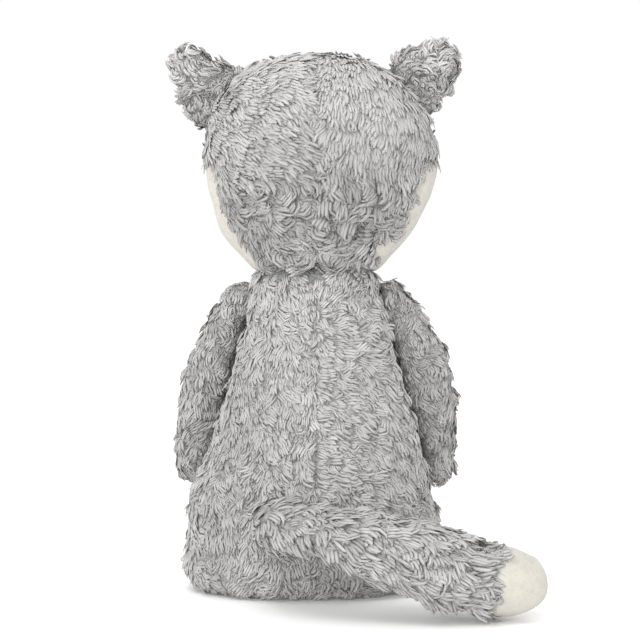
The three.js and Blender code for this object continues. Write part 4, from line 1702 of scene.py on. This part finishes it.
    def swirled(self, points: Rows, normals: Rows, region: Region) -> Rows:
        """The directions along the skin in which a region's pile lies.

        Args:
            points: The backing's vertices.
            normals: Its normals.
            region: The panel that it is.

        Returns:
            A direction for each vertex.
        """
        flow = unit(self.flow(points, region))
        if self.creams:
            away, ways = self.shop.near.towards(points, self.creams)
            flow = flow + ways * (self.overhang * fading(away, self.overhang_reach))[:, None]
        flow = unit(flow - normals * np.sum(flow * normals, axis=1, keepdims=True))
        pile = region.pile
        turn = pile.swirl * self.turn_gain * noise_field(points, pile.swirl_size, Field.SWIRL)
        turn += pile.ruffle * self.turn_gain * noise_field(points, pile.ruffle_size, Field.RUFFLE)
        turn *= self.curliness(points)
        side = np.cross(normals, flow)
        return flow * np.cos(turn)[:, None] + side * np.sin(turn)[:, None]


# Sub-assemblies


BODY_PILE = Pile(2.5 * MM, 8.5 * MM, 1.2, swirl=0.9, ruffle=0.9, ruffle_size=7 * MM, curl=1.1)
FRONT_PILE = Pile(2.8 * MM, 9.5 * MM, 1.2, swirl=0.9, ruffle=0.9, ruffle_size=7 * MM, curl=1.1)
HEAD_PILE = Pile(2.4 * MM, 10 * MM, 1.35, turn_spread=0.3, stray_share=0.02, swirl=0.6, ruffle=0.7, curl=0.9)
LIMB_PILE = Pile(2.6 * MM, 8.5 * MM, 1.15, lift=0.02, swirl=0.9, ruffle=0.8, curl=1.1)
TAIL_PILE = Pile(2.9 * MM, 11 * MM, 1.25, swirl=0.6, ruffle=0.8, curl=0.9)
EAR_PILE = Pile(
    2.7 * MM,
    9 * MM,
    1.3,
    lift=0.02,
    stray_share=0.0,
    turn_spread=0.6,
    swirl=1.4,
    swirl_size=14 * MM,
    curl=2.2,
    curl_spread=0.1,
)
BROW_PILE = Pile(2.5 * MM, 6 * MM, swirl=0.3, ruffle=0.3, curl=0.3)
TORSO_BACK = ("torso_back_left_panel", "torso_back_right_panel")
HEAD_BACK = ("head_back_left_panel", "head_back_right_panel")


def panels_of(limb: str, *layers: str) -> tuple[str, ...]:
    """The nodes of some layers of a limb, on both sides."""
    return tuple(f"{limb}_{side.word}_{layer}_panel" for side in Side for layer in layers)


@dataclass
class Torso(Cover):
    """The body, with the collar at its neck that bends as the head nods."""

    body: str = "torso"
    # How much painted light the torso's pile gets as a whole.
    nap: float = 0.38
    tuft: float = 1.1 * MM
    voxel: float = 4.5 * MM
    smoothing: int = 5
    close_gap: float = 0.0
    collar: str = "neck_collar"
    collar_height: float = 176 * MM
    collar_end: float = 193 * MM
    collar_weld: float = 0.02 * MM
    shoulders: tuple[float, float] = (166 * MM, 180 * MM)
    neck: Plug = Plug((0, 0, 187 * MM), (0, 0, 1), 20 * MM, 40.5 * MM)
    head_opening: float = 31 * MM
    head_floor: float = 189 * MM

    def __post_init__(self) -> None:
        """Names the panels, and where the stuffing is fuller and where the pile gets painted light and shade."""
        self.greys = (
            Region(TORSO_BACK[0], BODY_PILE, (0.1, 0, -1)),
            Region(TORSO_BACK[1], BODY_PILE, (-0.8, 0, -0.5)),
            Region("torso_front_panel", FRONT_PILE),
            Region("torso_base_panel", BODY_PILE),
        )
        self.inner = ("torso_stuffing",)
        self.beside = (*panels_of("arm", "front", "back"), *panels_of("leg", "outer", "inner"), "tail_inner_panel")
        self.plugs = (self.neck,)
        self.swells = swells_from(
            (40, 0, 176, 18, 3), (-40, 0, 176, 18, 3), (-76, 20, 55, 24, -6), (45, 60, 6, 26, 6),
            (70, 30, 6, 20, 7), (80, 10, 60, 14, 4), (78, 15, 12, 12, 2.5), (-72, 30, 50, 14, -2.5),
            (45, 0, 147, 20, 2), (-47, 0, 147, 20, 2.4), (36, 0, 192, 10, 1.5),
        )
        # Painted shade on the left side, in the crease by the arm and in the pocket under the tail, and painted light
        # low on the back.
        self.shades = shares_from(
            (60, 50, 90, 35, -0.6), (65, 50, 40, 30, -0.6), (48, 30, 130, 25, -0.6), (0, 90, 60, 35, 0.9),
            (-15, 90, 0, 26, -2.4),
        )

    def cut(self, built: Built) -> None:
        """Cuts the collar off, besides the seams."""
        super().cut(built)
        cut_where_zero(built, np.array([v.co.z - self.collar_height for v in built.verts]))

    def split(self, piece: Piece) -> list[Part]:
        """Divides the skin into its panels and the collar.

        Args:
            piece: The whole skin.

        Returns:
            A part for each panel, and one for the collar.
        """
        parts = super().split(piece)
        collar = bmesh.new()
        for part in parts:
            upper = built_from(part.mesh)
            heights = np.array([f.calc_center_median().z for f in upper.faces])
            if len(heights) and heights.max() > self.collar_height:
                collar.from_mesh(part_of(upper, heights > self.collar_height))
                part.mesh = part_of(upper, heights <= self.collar_height)
            upper.free()
        bmesh.ops.remove_doubles(collar, verts=collar.verts, dist=self.collar_weld)
        return [*parts, Part(self.collar, mesh_of(collar, self.collar), Region("", BODY_PILE))]

    def softness(self, points: Rows) -> Rows:
        """Rounds the shoulders, where the neck goes into the head."""
        return ramp(points[:, 2], *self.shoulders)

    def growth(self, points: Rows, normals: Rows) -> Rows:
        """No pile grows on the top of the neck, which the head covers."""
        wide = np.linalg.norm(points[:, :2], axis=1)
        roof = self.head_floor + np.clip(wide - self.head_opening, 0, None)
        return np.where(points[:, 2] > roof, 0.0, 1.0)

    def hang(self, piece: Piece, part: Part, slot: Slot) -> None:
        """Puts the collar between the torso and the head, and the rest on the torso."""
        if part.name != self.collar:
            super().hang(piece, part, slot)
            return
        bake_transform(piece, "torso", "head", start=(0, 0, self.collar_height), end=(0, 0, self.collar_end))
        report(piece)


@dataclass
class Head(Cover):
    """The head with its cream cheeks, its grey mask and its muzzle."""

    body: str = "head"
    # Painted shade over the head's pile as a whole.
    nap: float = -0.25
    jaw: tuple[float, float] = (190 * MM, 203 * MM)
    nape: tuple[float, float] = (190 * MM, 215 * MM)
    nape_pull: Point = (0, 0, -2.5)
    muzzle: tuple[float, float] = (-50 * MM, -38 * MM)
    combed: tuple[float, float] = (215 * MM, 265 * MM)
    curls_at_nape: float = 2
    curls_lost: float = 1.5
    floor: float = 192 * MM
    floor_slope: float = -0.9

    def __post_init__(self) -> None:
        """Names the panels, and where the stuffing is fuller, the pile longer, and painted light and shade fall on
        the pile.
        """
        self.greys = (
            Region(HEAD_BACK[0], HEAD_PILE, (-0.9, 0, -0.4)),
            Region(HEAD_BACK[1], HEAD_PILE, (0.15, 0, -1)),
            Region("head_mask_panel", HEAD_PILE, (0, 0.5, 1)),
            Region("muzzle_top_panel", BROW_PILE, (0, 1, 0.3)),
        )
        self.creams = ("cheek_left_panel", "cheek_right_panel", "muzzle_chin_panel")
        self.inner = ("head_stuffing", "muzzle_stuffing")
        self.beside = (*panels_of("ear", "front", "back"), "eye_left", "eye_right")
        self.tufts = shares_from((64, 10, 262, 12, 0.3), (52, 30, 208, 16, 0.4))
        # Painted light on the crown, and painted shade low on the head and in the creases at the ears' roots.
        self.shades = shares_from(
            (35, 30, 305, 42, 0.8), (-35, 30, 305, 42, 0.8), (0, 60, 240, 45, -0.3),
            (45, 40, 215, 25, -0.5), (-30, 50, 230, 22, -0.5), (48, 20, 290, 9, -1.1),
            (-46, 20, 295, 9, -1.1),
        )
        self.swells = swells_from(
            (-70, 0, 237, 36, 4.6), (60, 0, 210, 26, 2.6), (64, -10, 238, 20, -1.6), (-52, 0, 200, 20, 1.6),
            (20, 40, 200, 24, 1.5), (69, 0, 272, 14, -4), (70, 0, 250, 9, -1.2), (66, -10, 241, 10, -4),
            (26, 0, 320, 13, -4), (40, 0, 312, 8, 2), (68, -10, 228, 13, -2.5), (56, 0, 212, 22, 2.4),
            (-56, 0, 212, 22, 1.2), (-75, 0, 260, 14, 1.8), (10, 0, 325, 40, 0.8),
        )

    def flow(self, points: Rows, region: Region) -> Rows:
        """The pile turns down over the neck at the head's lower edge."""
        return super().flow(points, region) + np.outer(1 - ramp(points[:, 2], *self.nape), self.nape_pull)

    def softness(self, points: Rows) -> Rows:
        """Rounds the lower edge, where the head meets the neck."""
        return 1 - ramp(points[:, 2], *self.jaw)

    def wandering(self, points: Rows) -> Rows:
        """The seams of the muzzle run straight."""
        return ramp(points[:, 1], *self.muzzle)

    def curliness(self, points: Rows) -> Rows:
        """The pile is combed at the crown and curlier towards the neck."""
        return self.curls_at_nape - self.curls_lost * ramp(points[:, 2], *self.combed)

    def growth(self, points: Rows, normals: Rows) -> Rows:
        """No pile grows on the underside, which rests on the neck."""
        return np.where((points[:, 2] < self.floor) & (normals[:, 2] < self.floor_slope), 0.0, 1.0)


@dataclass
class Tail(Cover):
    """The bushy tail with its cream tip, which hangs from the torso and comes down to the floor."""

    body: str = "tail"
    # A little painted shade over the tail's pile as a whole.
    nap: float = -0.05
    tuft: float = 1.9 * MM
    top: float = 64 * MM
    hang_places: tuple[float, ...] = (-100 * MM, -66 * MM, -48 * MM, -22 * MM, -9 * MM, 5 * MM)
    hang_heights: tuple[float, ...] = (0.0, 5 * MM, 10 * MM, 17 * MM, 25 * MM, 28 * MM)
    root: Plug = Plug((17.9 * MM, 81.6 * MM, 34 * MM), (0, 0, 1), 25 * MM, 18 * MM)

    def __post_init__(self) -> None:
        """Names the panels, and where the stuffing is fuller and where the pile gets painted light and shade."""
        self.greys = tuple(Region(f"tail_{layer}_panel", TAIL_PILE, (-1, 0, -0.6)) for layer in ("outer", "inner"))
        self.creams = ("tail_tip",)
        self.inner = ("tail_stuffing",)
        self.beside = TORSO_BACK
        self.plugs = (self.root,)
        self.swells = swells_from(
            (-95, 110, 70, 30, -7), (30, 110, 40, 26, 1.5), (-132, 100, 12, 23, 5),
            (-120, 105, 60, 22, -4.5), (-128, 125, 10, 16, 4),
        )
        # Painted shade under the tail near its root, and painted light further along it.
        self.shades = shares_from((-5, 100, 10, 24, -1.6), (-60, 120, 50, 45, 0.4))

    def finish_shape(self, piece: Piece) -> None:
        """Shapes the skin and lifts its underside off the floor towards the root.

        Args:
            piece: The skin.
        """
        super().finish_shape(piece)
        points = places(piece.data)
        hang = np.interp(points[:, 0], self.hang_places, self.hang_heights)
        points[:, 2] += hang * np.clip(1 - points[:, 2] / self.top, 0, 1)
        move_to(piece.data, points)


@dataclass
class Ear(Cover):
    """An ear, sewn from a back and a front layer."""

    side: Side = Side.LEFT
    # The ears' painted lightness, the right ear's higher, and the painted shade in their tufts' hollows.
    nap: float = 0.3
    right_nap: float = 0.45
    tuft: float = 2.1 * MM
    tuft_shade: float = 0.8
    rooted: float = 0.7
    close_gap: float = 0.0
    voxel: float = 2.5 * MM
    smoothing: int = 4
    puff_cap: float = 1.2 * MM
    lump_size: float = 16 * MM

    def __post_init__(self) -> None:
        """Names the layers, the root in the head, and where the stuffing is fuller and the pile gets painted light
        and shade.
        """
        out = self.side.value
        self.body = f"ear_{self.side.word}"
        self.greys = tuple(Region(f"{self.body}_{layer}_panel", EAR_PILE, (out, 0, 1)) for layer in ("back", "front"))
        self.beside = (*HEAD_BACK, "head_mask_panel")
        self.plugs = (Plug((out * 57.5 * MM, 0, 288 * MM), (0.55, 0, -out * 0.835), 23 * MM, 8.5 * MM),)
        self.swells = swells_from((out * 66, 0, 322, 14, 1.5))
        # Painted light at the ear's top and painted shade low on its outer side.
        self.shades = shares_from((out * 68, 10, 320, 12, 0.8), (out * 78, 10, 290, 12, -0.7))
        if self.side is Side.LEFT:
            self.shift = (-4.2 * MM, 0, 1.8 * MM)
            self.swells += swells_from(
                (62, 0, 321, 10, -5.5), (46, 0, 308, 9, 4.5), (80, 0, 281, 9, 4), (92, 0, 303, 14, -0.6),
                (82, 0, 330, 14, 1.2),
            )
        else:
            self.shift = (6.2 * MM, 0, 4.8 * MM)
            # The right ear gets more painted light than the left.
            self.nap = self.right_nap
            self.swells += swells_from((-50, 0, 314, 14, 2), (-88, 0, 316, 9, -1), (-86, 0, 284, 10, -3.2))


@dataclass
class Arm(Cover):
    """An arm that hangs from its shoulder and turns about it."""

    side: Side = Side.LEFT
    voxel: float = 3.5 * MM
    shoulder_radius: float = 15.5 * MM
    shoulder_length: float = 13 * MM
    shoulder_place: float = 6 * MM

    def __post_init__(self) -> None:
        """Names the panels, the shoulder, and where the stuffing is fuller and the pile shorter."""
        out = self.side.value
        self.body = f"arm_{self.side.word}"
        lay = (0.3 * out, 0.2, -1)
        self.greys = tuple(Region(f"{self.body}_{layer}_panel", LIMB_PILE, lay) for layer in ("back", "front"))
        self.inner = (f"{self.body}_stuffing",)
        self.beside = (*TORSO_BACK, "torso_front_panel")
        joint = self.shop.joints[f"{self.body}_swing"]
        outward = Vector(joint["axis"]) * (-out)
        centre = Vector(joint["pos_m"]) + outward * self.shoulder_place
        self.plugs = (Plug(tuple(centre), tuple(outward), self.shoulder_length, self.shoulder_radius),)
        self.tufts = shares_from((out * 66, 0, 165, 24, -0.3))
        self.swells = swells_from((out * 68, -10, 165, 18, -2), (out * 44, 0, 182, 9, 2))
        if self.side is Side.LEFT:
            self.swells += swells_from(
                (45, -10, 150, 16, 3), (86, -20, 100, 36, 4), (80, -30, 60, 18, 6), (90, -15, 72, 12, 1.6),
            )
        else:
            self.swells += swells_from(
                (-86, -20, 100, 36, 5), (-90, -15, 130, 26, 4), (-51, -10, 148, 16, 3),
                (-76, 0, 154, 12, 1.5), (-80, -20, 60, 13, 8), (-76, -10, 63, 11, 5), (-70, -20, 64, 9, 6),
            )


@dataclass
class Leg(Cover):
    """A short leg that lies forward, with a cream sole."""

    side: Side = Side.LEFT
    voxel: float = 3.5 * MM

    def __post_init__(self) -> None:
        """Names the panels and the hip."""
        out = self.side.value
        self.body = f"leg_{self.side.word}"
        self.greys = (
            Region(f"{self.body}_outer_panel", LIMB_PILE, (0.3 * out, -1, -0.3)),
            Region(f"{self.body}_inner_panel", LIMB_PILE, (-0.3 * out, -1, -0.3)),
        )
        self.creams = (f"foot_{self.side.word}_sole",)
        self.inner = (f"{self.body}_stuffing",)
        self.beside = ("torso_base_panel", "torso_front_panel")
        self.plugs = (Plug((out * 36 * MM, -74 * MM, 22.5 * MM), (1, 0, 0), 20 * MM, 20 * MM),)


@dataclass(frozen=True)
class Eye:
    """A moulded eye with a ribbed shank, held by a washer behind the fabric."""

    side: Side
    radius: float = 5.6 * MM
    dome: float = 4 * MM
    dome_steps: int = 10
    rim: float = 0.9 * MM
    rim_shape: tuple[tuple[float, float], ...] = ((0.98, 0.6), (0.9, 1.0))
    shank_radius: float = 1.9 * MM
    shank_length: float = 11.5 * MM
    groove: float = 0.8
    ribs: int = 5
    segments: int = 32

    def profile(self) -> list[tuple[float, float]]:
        """Goes down the eye's section.

        Returns:
            Distances from the axis and heights over the rim, from the dome's top to the shank's end.
        """
        turns = [math.pi / 2 * k / self.dome_steps for k in range(self.dome_steps + 1)]
        points = [(self.radius * math.sin(a), self.dome * math.cos(a)) for a in turns]
        points += [(self.radius * wide, -self.rim * deep) for wide, deep in self.rim_shape]
        points.append((self.shank_radius, -self.rim))
        step = (self.shank_length - self.rim) / (2 * self.ribs)
        for k in range(1, 2 * self.ribs + 1):
            points.append((self.shank_radius * (self.groove if k % 2 else 1.0), -self.rim - step * k))
        return [*points, (0.0, -self.shank_length)]

    def build(self, shop: Workshop) -> None:
        """Turns the eye about its washer's axis and puts it on the head.

        Args:
            shop: The finishes.
        """
        node = f"eye_{self.side.word}"
        washer = bpy.data.objects[f"{node}_washer"]
        inner = middle(washer)
        axis = (middle(bpy.data.objects[node]) - inner).normalized()
        reach = max((v.co - inner).dot(axis) for v in bpy.data.objects[node].data.vertices)
        mesh = turned(self.profile(), inner + axis * (reach - self.dome), axis, self.segments)
        button = piece_from(f"{node}_button", mesh, shop.wardrobe.eye)
        hung(button, Slot.BLACK, "head")
        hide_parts(node)
        dress(washer.data, shop.wardrobe.washer)


def middle(piece: Piece) -> Vector:
    """The middle of a piece's distinct vertices."""
    distinct = {tuple(round(c, 6) for c in v.co) for v in piece.data.vertices}
    return sum((Vector(p) for p in distinct), Vector()) / len(distinct)


def turned(profile: Sequence[tuple[float, float]], base: Vector, axis: Vector, segments: int) -> Mesh:
    """Turns a section about an axis into a closed body.

    Args:
        profile: Distances from the axis and heights along it, with the first and last on the axis.
        base: The point of height zero.
        axis: The direction of growing height.
        segments: How many faces go round.

    Returns:
        The mesh, with its faces outwards.
    """
    across = axis.orthogonal().normalized()
    other = axis.cross(across)
    turns = [2 * math.pi * k / segments for k in range(segments)]
    built = bmesh.new()
    rows = []
    for radius, height in profile:
        middle_point = base + axis * height
        ways = [across * math.cos(a) + other * math.sin(a) for a in turns] if radius > TINY else [Vector()]
        rows.append([built.verts.new(middle_point + way * radius) for way in ways])
    for a, b in zip(rows, rows[1:]):
        for k in range(segments):
            j = (k + 1) % segments
            corners = [a[k % len(a)], b[k % len(b)], b[j % len(b)], a[j % len(a)]]
            built.faces.new(list(dict.fromkeys(corners)))
    bmesh.ops.recalc_face_normals(built, faces=built.faces)
    return mesh_of(built, "turned")


class ThreadTree(GrowingTree):
    """Turns drawn lines into rounded threads."""

    name = "laid_threads"
    inputs = (
        ("Thread", "NodeSocketFloat", 0.0004),
        ("Finish", "NodeSocketMaterial", None),
        ("Sides", "NodeSocketInt", 6),
    )

    def build(self) -> None:
        """Adds the nodes: lines, tubes and finish."""
        made, given = self.made, self.given
        lines = made.add("GeometryNodeMeshToCurve", {"Mesh": given["Geometry"]})
        feeds = {"Resolution": given["Sides"], "Radius": given["Thread"]}
        ring = made.add("GeometryNodeCurvePrimitiveCircle", feeds)
        feeds = {"Curve": lines, "Profile Curve": made.out(ring, "Curve"), "Fill Caps": True}
        real = made.add("GeometryNodeRealizeInstances", {"Geometry": made.add("GeometryNodeCurveToMesh", feeds)})
        done = made.add("GeometryNodeSetMaterial", {"Geometry": real, "Material": given["Finish"]})
        made.add("NodeGroupOutput", {"Geometry": done})

    def lay(self, name: str, lines: Sequence[list[Vector]], thread: float, finish: Material) -> Piece:
        """Lays threads along lines.

        Args:
            name: The new piece's name.
            lines: The lines' points.
            thread: A thread's half-thickness.
            finish: The thread's material.

        Returns:
            The threads as a plain mesh.
        """
        corners: list[Vector] = []
        edges: list[tuple[int, int]] = []
        for line in lines:
            edges += [(len(corners) + k, len(corners) + k + 1) for k in range(len(line) - 1)]
            corners += line
        mesh = bpy.data.meshes.new(name)
        mesh.from_pydata([tuple(c) for c in corners], edges, [])
        return piece_from(name, self.grown(piece_from(f"{name}_host", mesh), {"Thread": thread, "Finish": finish}))


@dataclass(frozen=True)
class Nose:
    """An embroidered nose over a small pad, with the mouth sewn below it."""

    voxel: float = 1.1 * MM
    smoothing: int = 5
    fill: float = 0.9
    sunk: float = 2.2 * MM
    rows: int = 24
    row_steps: int = 20
    row_least: int = 4
    thread: float = 0.42 * MM
    proud: float = 0.1 * MM
    mouth_drop: float = 3 * MM
    mouth_width: float = 8 * MM
    mouth_sag: float = 1.6 * MM
    mouth_turn: float = 0.75
    mouth_lift: float = 0.5 * MM
    mouth_overlap: float = 1.5 * MM
    mouth_steps: int = 8
    mouth_least: int = 3
    mouth_thread: float = 0.55 * MM
    mouth_proud: float = 0.2 * MM
    seen_from: float = -0.3
    facing: float = -0.15
    longest_stitch: float = 3 * MM

    def build(self, shop: Workshop, threads: ThreadTree, face: BVHTree) -> None:
        """Makes the pad, its laid threads and the mouth, and puts them on the head.

        Args:
            shop: The finishes.
            threads: The tree that lays threads.
            face: The finished skin of the muzzle.
        """
        finish = shop.wardrobe.thread
        pad = self.pad(finish)
        corners = places(pad.data)
        low, high = corners.min(axis=0), corners.max(axis=0)
        satin = threads.lay("nose_satin", self.satin_lines(pad, low, high), self.thread, finish)
        mouth = threads.lay("mouth_stitches", self.mouth_lines(face, low[2]), self.mouth_thread, finish)
        for piece in (pad, satin):
            move_to(piece.data, places(piece.data) + np.array((0, self.sunk, 0)))
        for piece in (pad, satin, mouth):
            hung(piece, Slot.THREAD, "head")
        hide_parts("nose")

    def pad(self, finish: Material) -> Piece:
        """Makes the rounded pad under the threads.

        Args:
            finish: The threads' material.

        Returns:
            The pad.
        """
        piece = piece_from("nose_pad", bpy.data.objects["nose"].data.copy(), finish)
        remeshed(piece, self.voxel)
        smoothed(piece.data, self.smoothing)
        dress(piece.data, finish)
        piece.data.shade_smooth()
        return piece

    def satin_lines(self, pad: Piece, low: Rows, high: Rows) -> list[list[Vector]]:
        """The lines of the nose's threads, side by side from its top down.

        Args:
            pad: The nose's pad.
            low: Its lowest corner.
            high: Its highest corner.

        Returns:
            The points of each line.
        """
        surface = BVHTree.FromObject(pad, bpy.context.evaluated_depsgraph_get())
        heights = [high[2] + (low[2] - high[2]) * j / self.row_steps for j in range(self.row_steps + 1)]
        across = [low[0] + (high[0] - low[0]) * (k + 0.5) / self.rows for k in range(self.rows)]
        lines = [self.traced(surface, [(x, z) for z in heights], self.proud) for x in across]
        return [line for line in lines if len(line) >= self.row_least]

    def mouth_lines(self, face: BVHTree, low: float) -> list[list[Vector]]:
        """The line below the nose and the two curves of the mouth.

        Args:
            face: The finished skin of the muzzle.
            low: The height of the nose's lower edge.

        Returns:
            The points of each line.
        """
        shares = [k / self.mouth_steps for k in range(self.mouth_steps + 1)]
        top, bottom = low + self.mouth_overlap, low - self.mouth_drop
        curves = [[(0.0, top + (bottom - top) * t) for t in shares]]
        sag = [self.mouth_sag * math.sin(math.pi * min(t * self.mouth_turn, 1)) for t in shares]
        for side in Side:
            wide = side.value * self.mouth_width
            curves.append([(wide * t, bottom - drop + self.mouth_lift) for t, drop in zip(shares, sag)])
        lines = [self.traced(face, spots, self.mouth_proud) for spots in curves]
        return [line for line in lines if len(line) >= self.mouth_least]

    def traced(self, surface: BVHTree, spots: Sequence[tuple[float, float]], proud: float) -> list[Vector]:
        """Points on the front of a surface, seen from the fox's front.

        Args:
            surface: The surface.
            spots: Places across and up.
            proud: How far the points stand out.

        Returns:
            The points that lie on the surface.
        """
        line: list[Vector] = []
        for x, z in spots:
            place, normal, _, _ = surface.ray_cast(Vector((x, self.seen_from, z)), Vector((0, 1, 0)))
            if place is None or normal.y > self.facing:
                continue
            if line and (place - line[-1]).length > self.longest_stitch:
                break
            line.append(place + normal * proud)
        return line


# Studio


@dataclass(frozen=True)
class Lamp:
    """A large soft light that points at the fox."""

    name: str
    place: Point
    size: float
    power: float
    aim: Point = (0, 0, 0.14)

    def build(self) -> None:
        """Adds the light."""
        light = bpy.data.lights.new(self.name, "AREA")
        light.size = self.size
        light.energy = self.power
        aimed(self.name, light, Vector(self.place), Vector(self.aim))


def aimed(name: str, data: bpy.types.ID, place: Vector, aim: Vector) -> Piece:
    """Adds a camera or a light that looks at a point.

    Args:
        name: Its name.
        data: The camera or the light.
        place: Where it stands.
        aim: The point.

    Returns:
        The new object.
    """
    item = bpy.data.objects.new(name, data)
    item.location = place
    item.rotation_euler = (aim - place).to_track_quat("-Z", "Y").to_euler()
    bpy.context.scene.collection.objects.link(item)
    return item


@dataclass(frozen=True)
class Studio:
    """The camera behind the fox, the soft light and the pale floor."""

    stand_off: float = 1.4
    eye_height: float = 0.25
    aim_height: float = 0.161
    aside: float = -0.0024
    seen_width: float = 0.384
    sensor: float = 36.0
    floor_size: float = 80.0
    floor_faces: int = 8
    world_level: float = 1.0
    lamps: tuple[Lamp, ...] = (
        Lamp("key", (0.4, 1.0, 1.7), 0.8, 10),
        Lamp("fill", (0.3, 1.7, 0.4), 0.8, 15),
        Lamp("front", (0.0, -1.6, 1.3), 1.0, 8),
    )

    def build(self, wardrobe: Wardrobe) -> None:
        """Adds the camera, the lights and the floor.

        Args:
            wardrobe: The finishes.
        """
        camera = bpy.data.cameras.new("camera")
        camera.sensor_width = self.sensor
        camera.lens = self.sensor * self.stand_off / self.seen_width
        place = Vector((self.aside, self.stand_off, self.eye_height))
        aim = Vector((self.aside, 0, self.aim_height))
        bpy.context.scene.camera = aimed("camera", camera, place, aim)
        for lamp in self.lamps:
            lamp.build()
        built = bmesh.new()
        faces, half = self.floor_faces, self.floor_size / 2
        bmesh.ops.create_grid(built, x_segments=faces, y_segments=faces, size=half)
        piece_from("studio_floor", mesh_of(built, "floor"), wardrobe.floor)
        self.light_world()

    def light_world(self) -> None:
        """Sets an even pale surround."""
        world = bpy.data.worlds.new("studio")
        world.use_nodes = True
        background = world.node_tree.nodes["Background"]
        background.inputs["Color"].default_value = (1, 1, 1, 1)
        background.inputs["Strength"].default_value = self.world_level
        bpy.context.scene.world = world
        bpy.context.scene.view_settings.view_transform = "Standard"


def surface_of(parts: Iterable[Part]) -> BVHTree:
    """Joins the surfaces of finished skins, to set other things on.

    Args:
        parts: The skins' parts.

    Returns:
        The joined surface.
    """
    built = bmesh.new()
    for part in parts:
        built.from_mesh(bpy.data.objects[f"{part.name}_cover"].data)
    tree = BVHTree.FromBMesh(built)
    built.free()
    return tree


def clear_start() -> None:
    """Removes what a new Blender file starts with."""
    for item in list(bpy.data.objects):
        bpy.data.objects.remove(item)


def main() -> None:
    """Builds the fox's covers, face and studio around the frame."""
    clear_start()
    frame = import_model()
    shop = Workshop(frame)
    Torso(shop).build()
    face = surface_of(Head(shop).build())
    Tail(shop).build()
    for side in Side:
        for limb in (Ear, Arm, Leg):
            limb(shop, side=side).build()
        Eye(side).build(shop)
    Nose().build(shop, ThreadTree(), face)
    shop.barber.close()
    Studio().build(shop.wardrobe)


if __name__ == "__main__":
    logging.basicConfig(level=logging.INFO, format="%(name)s: %(message)s")
    main()
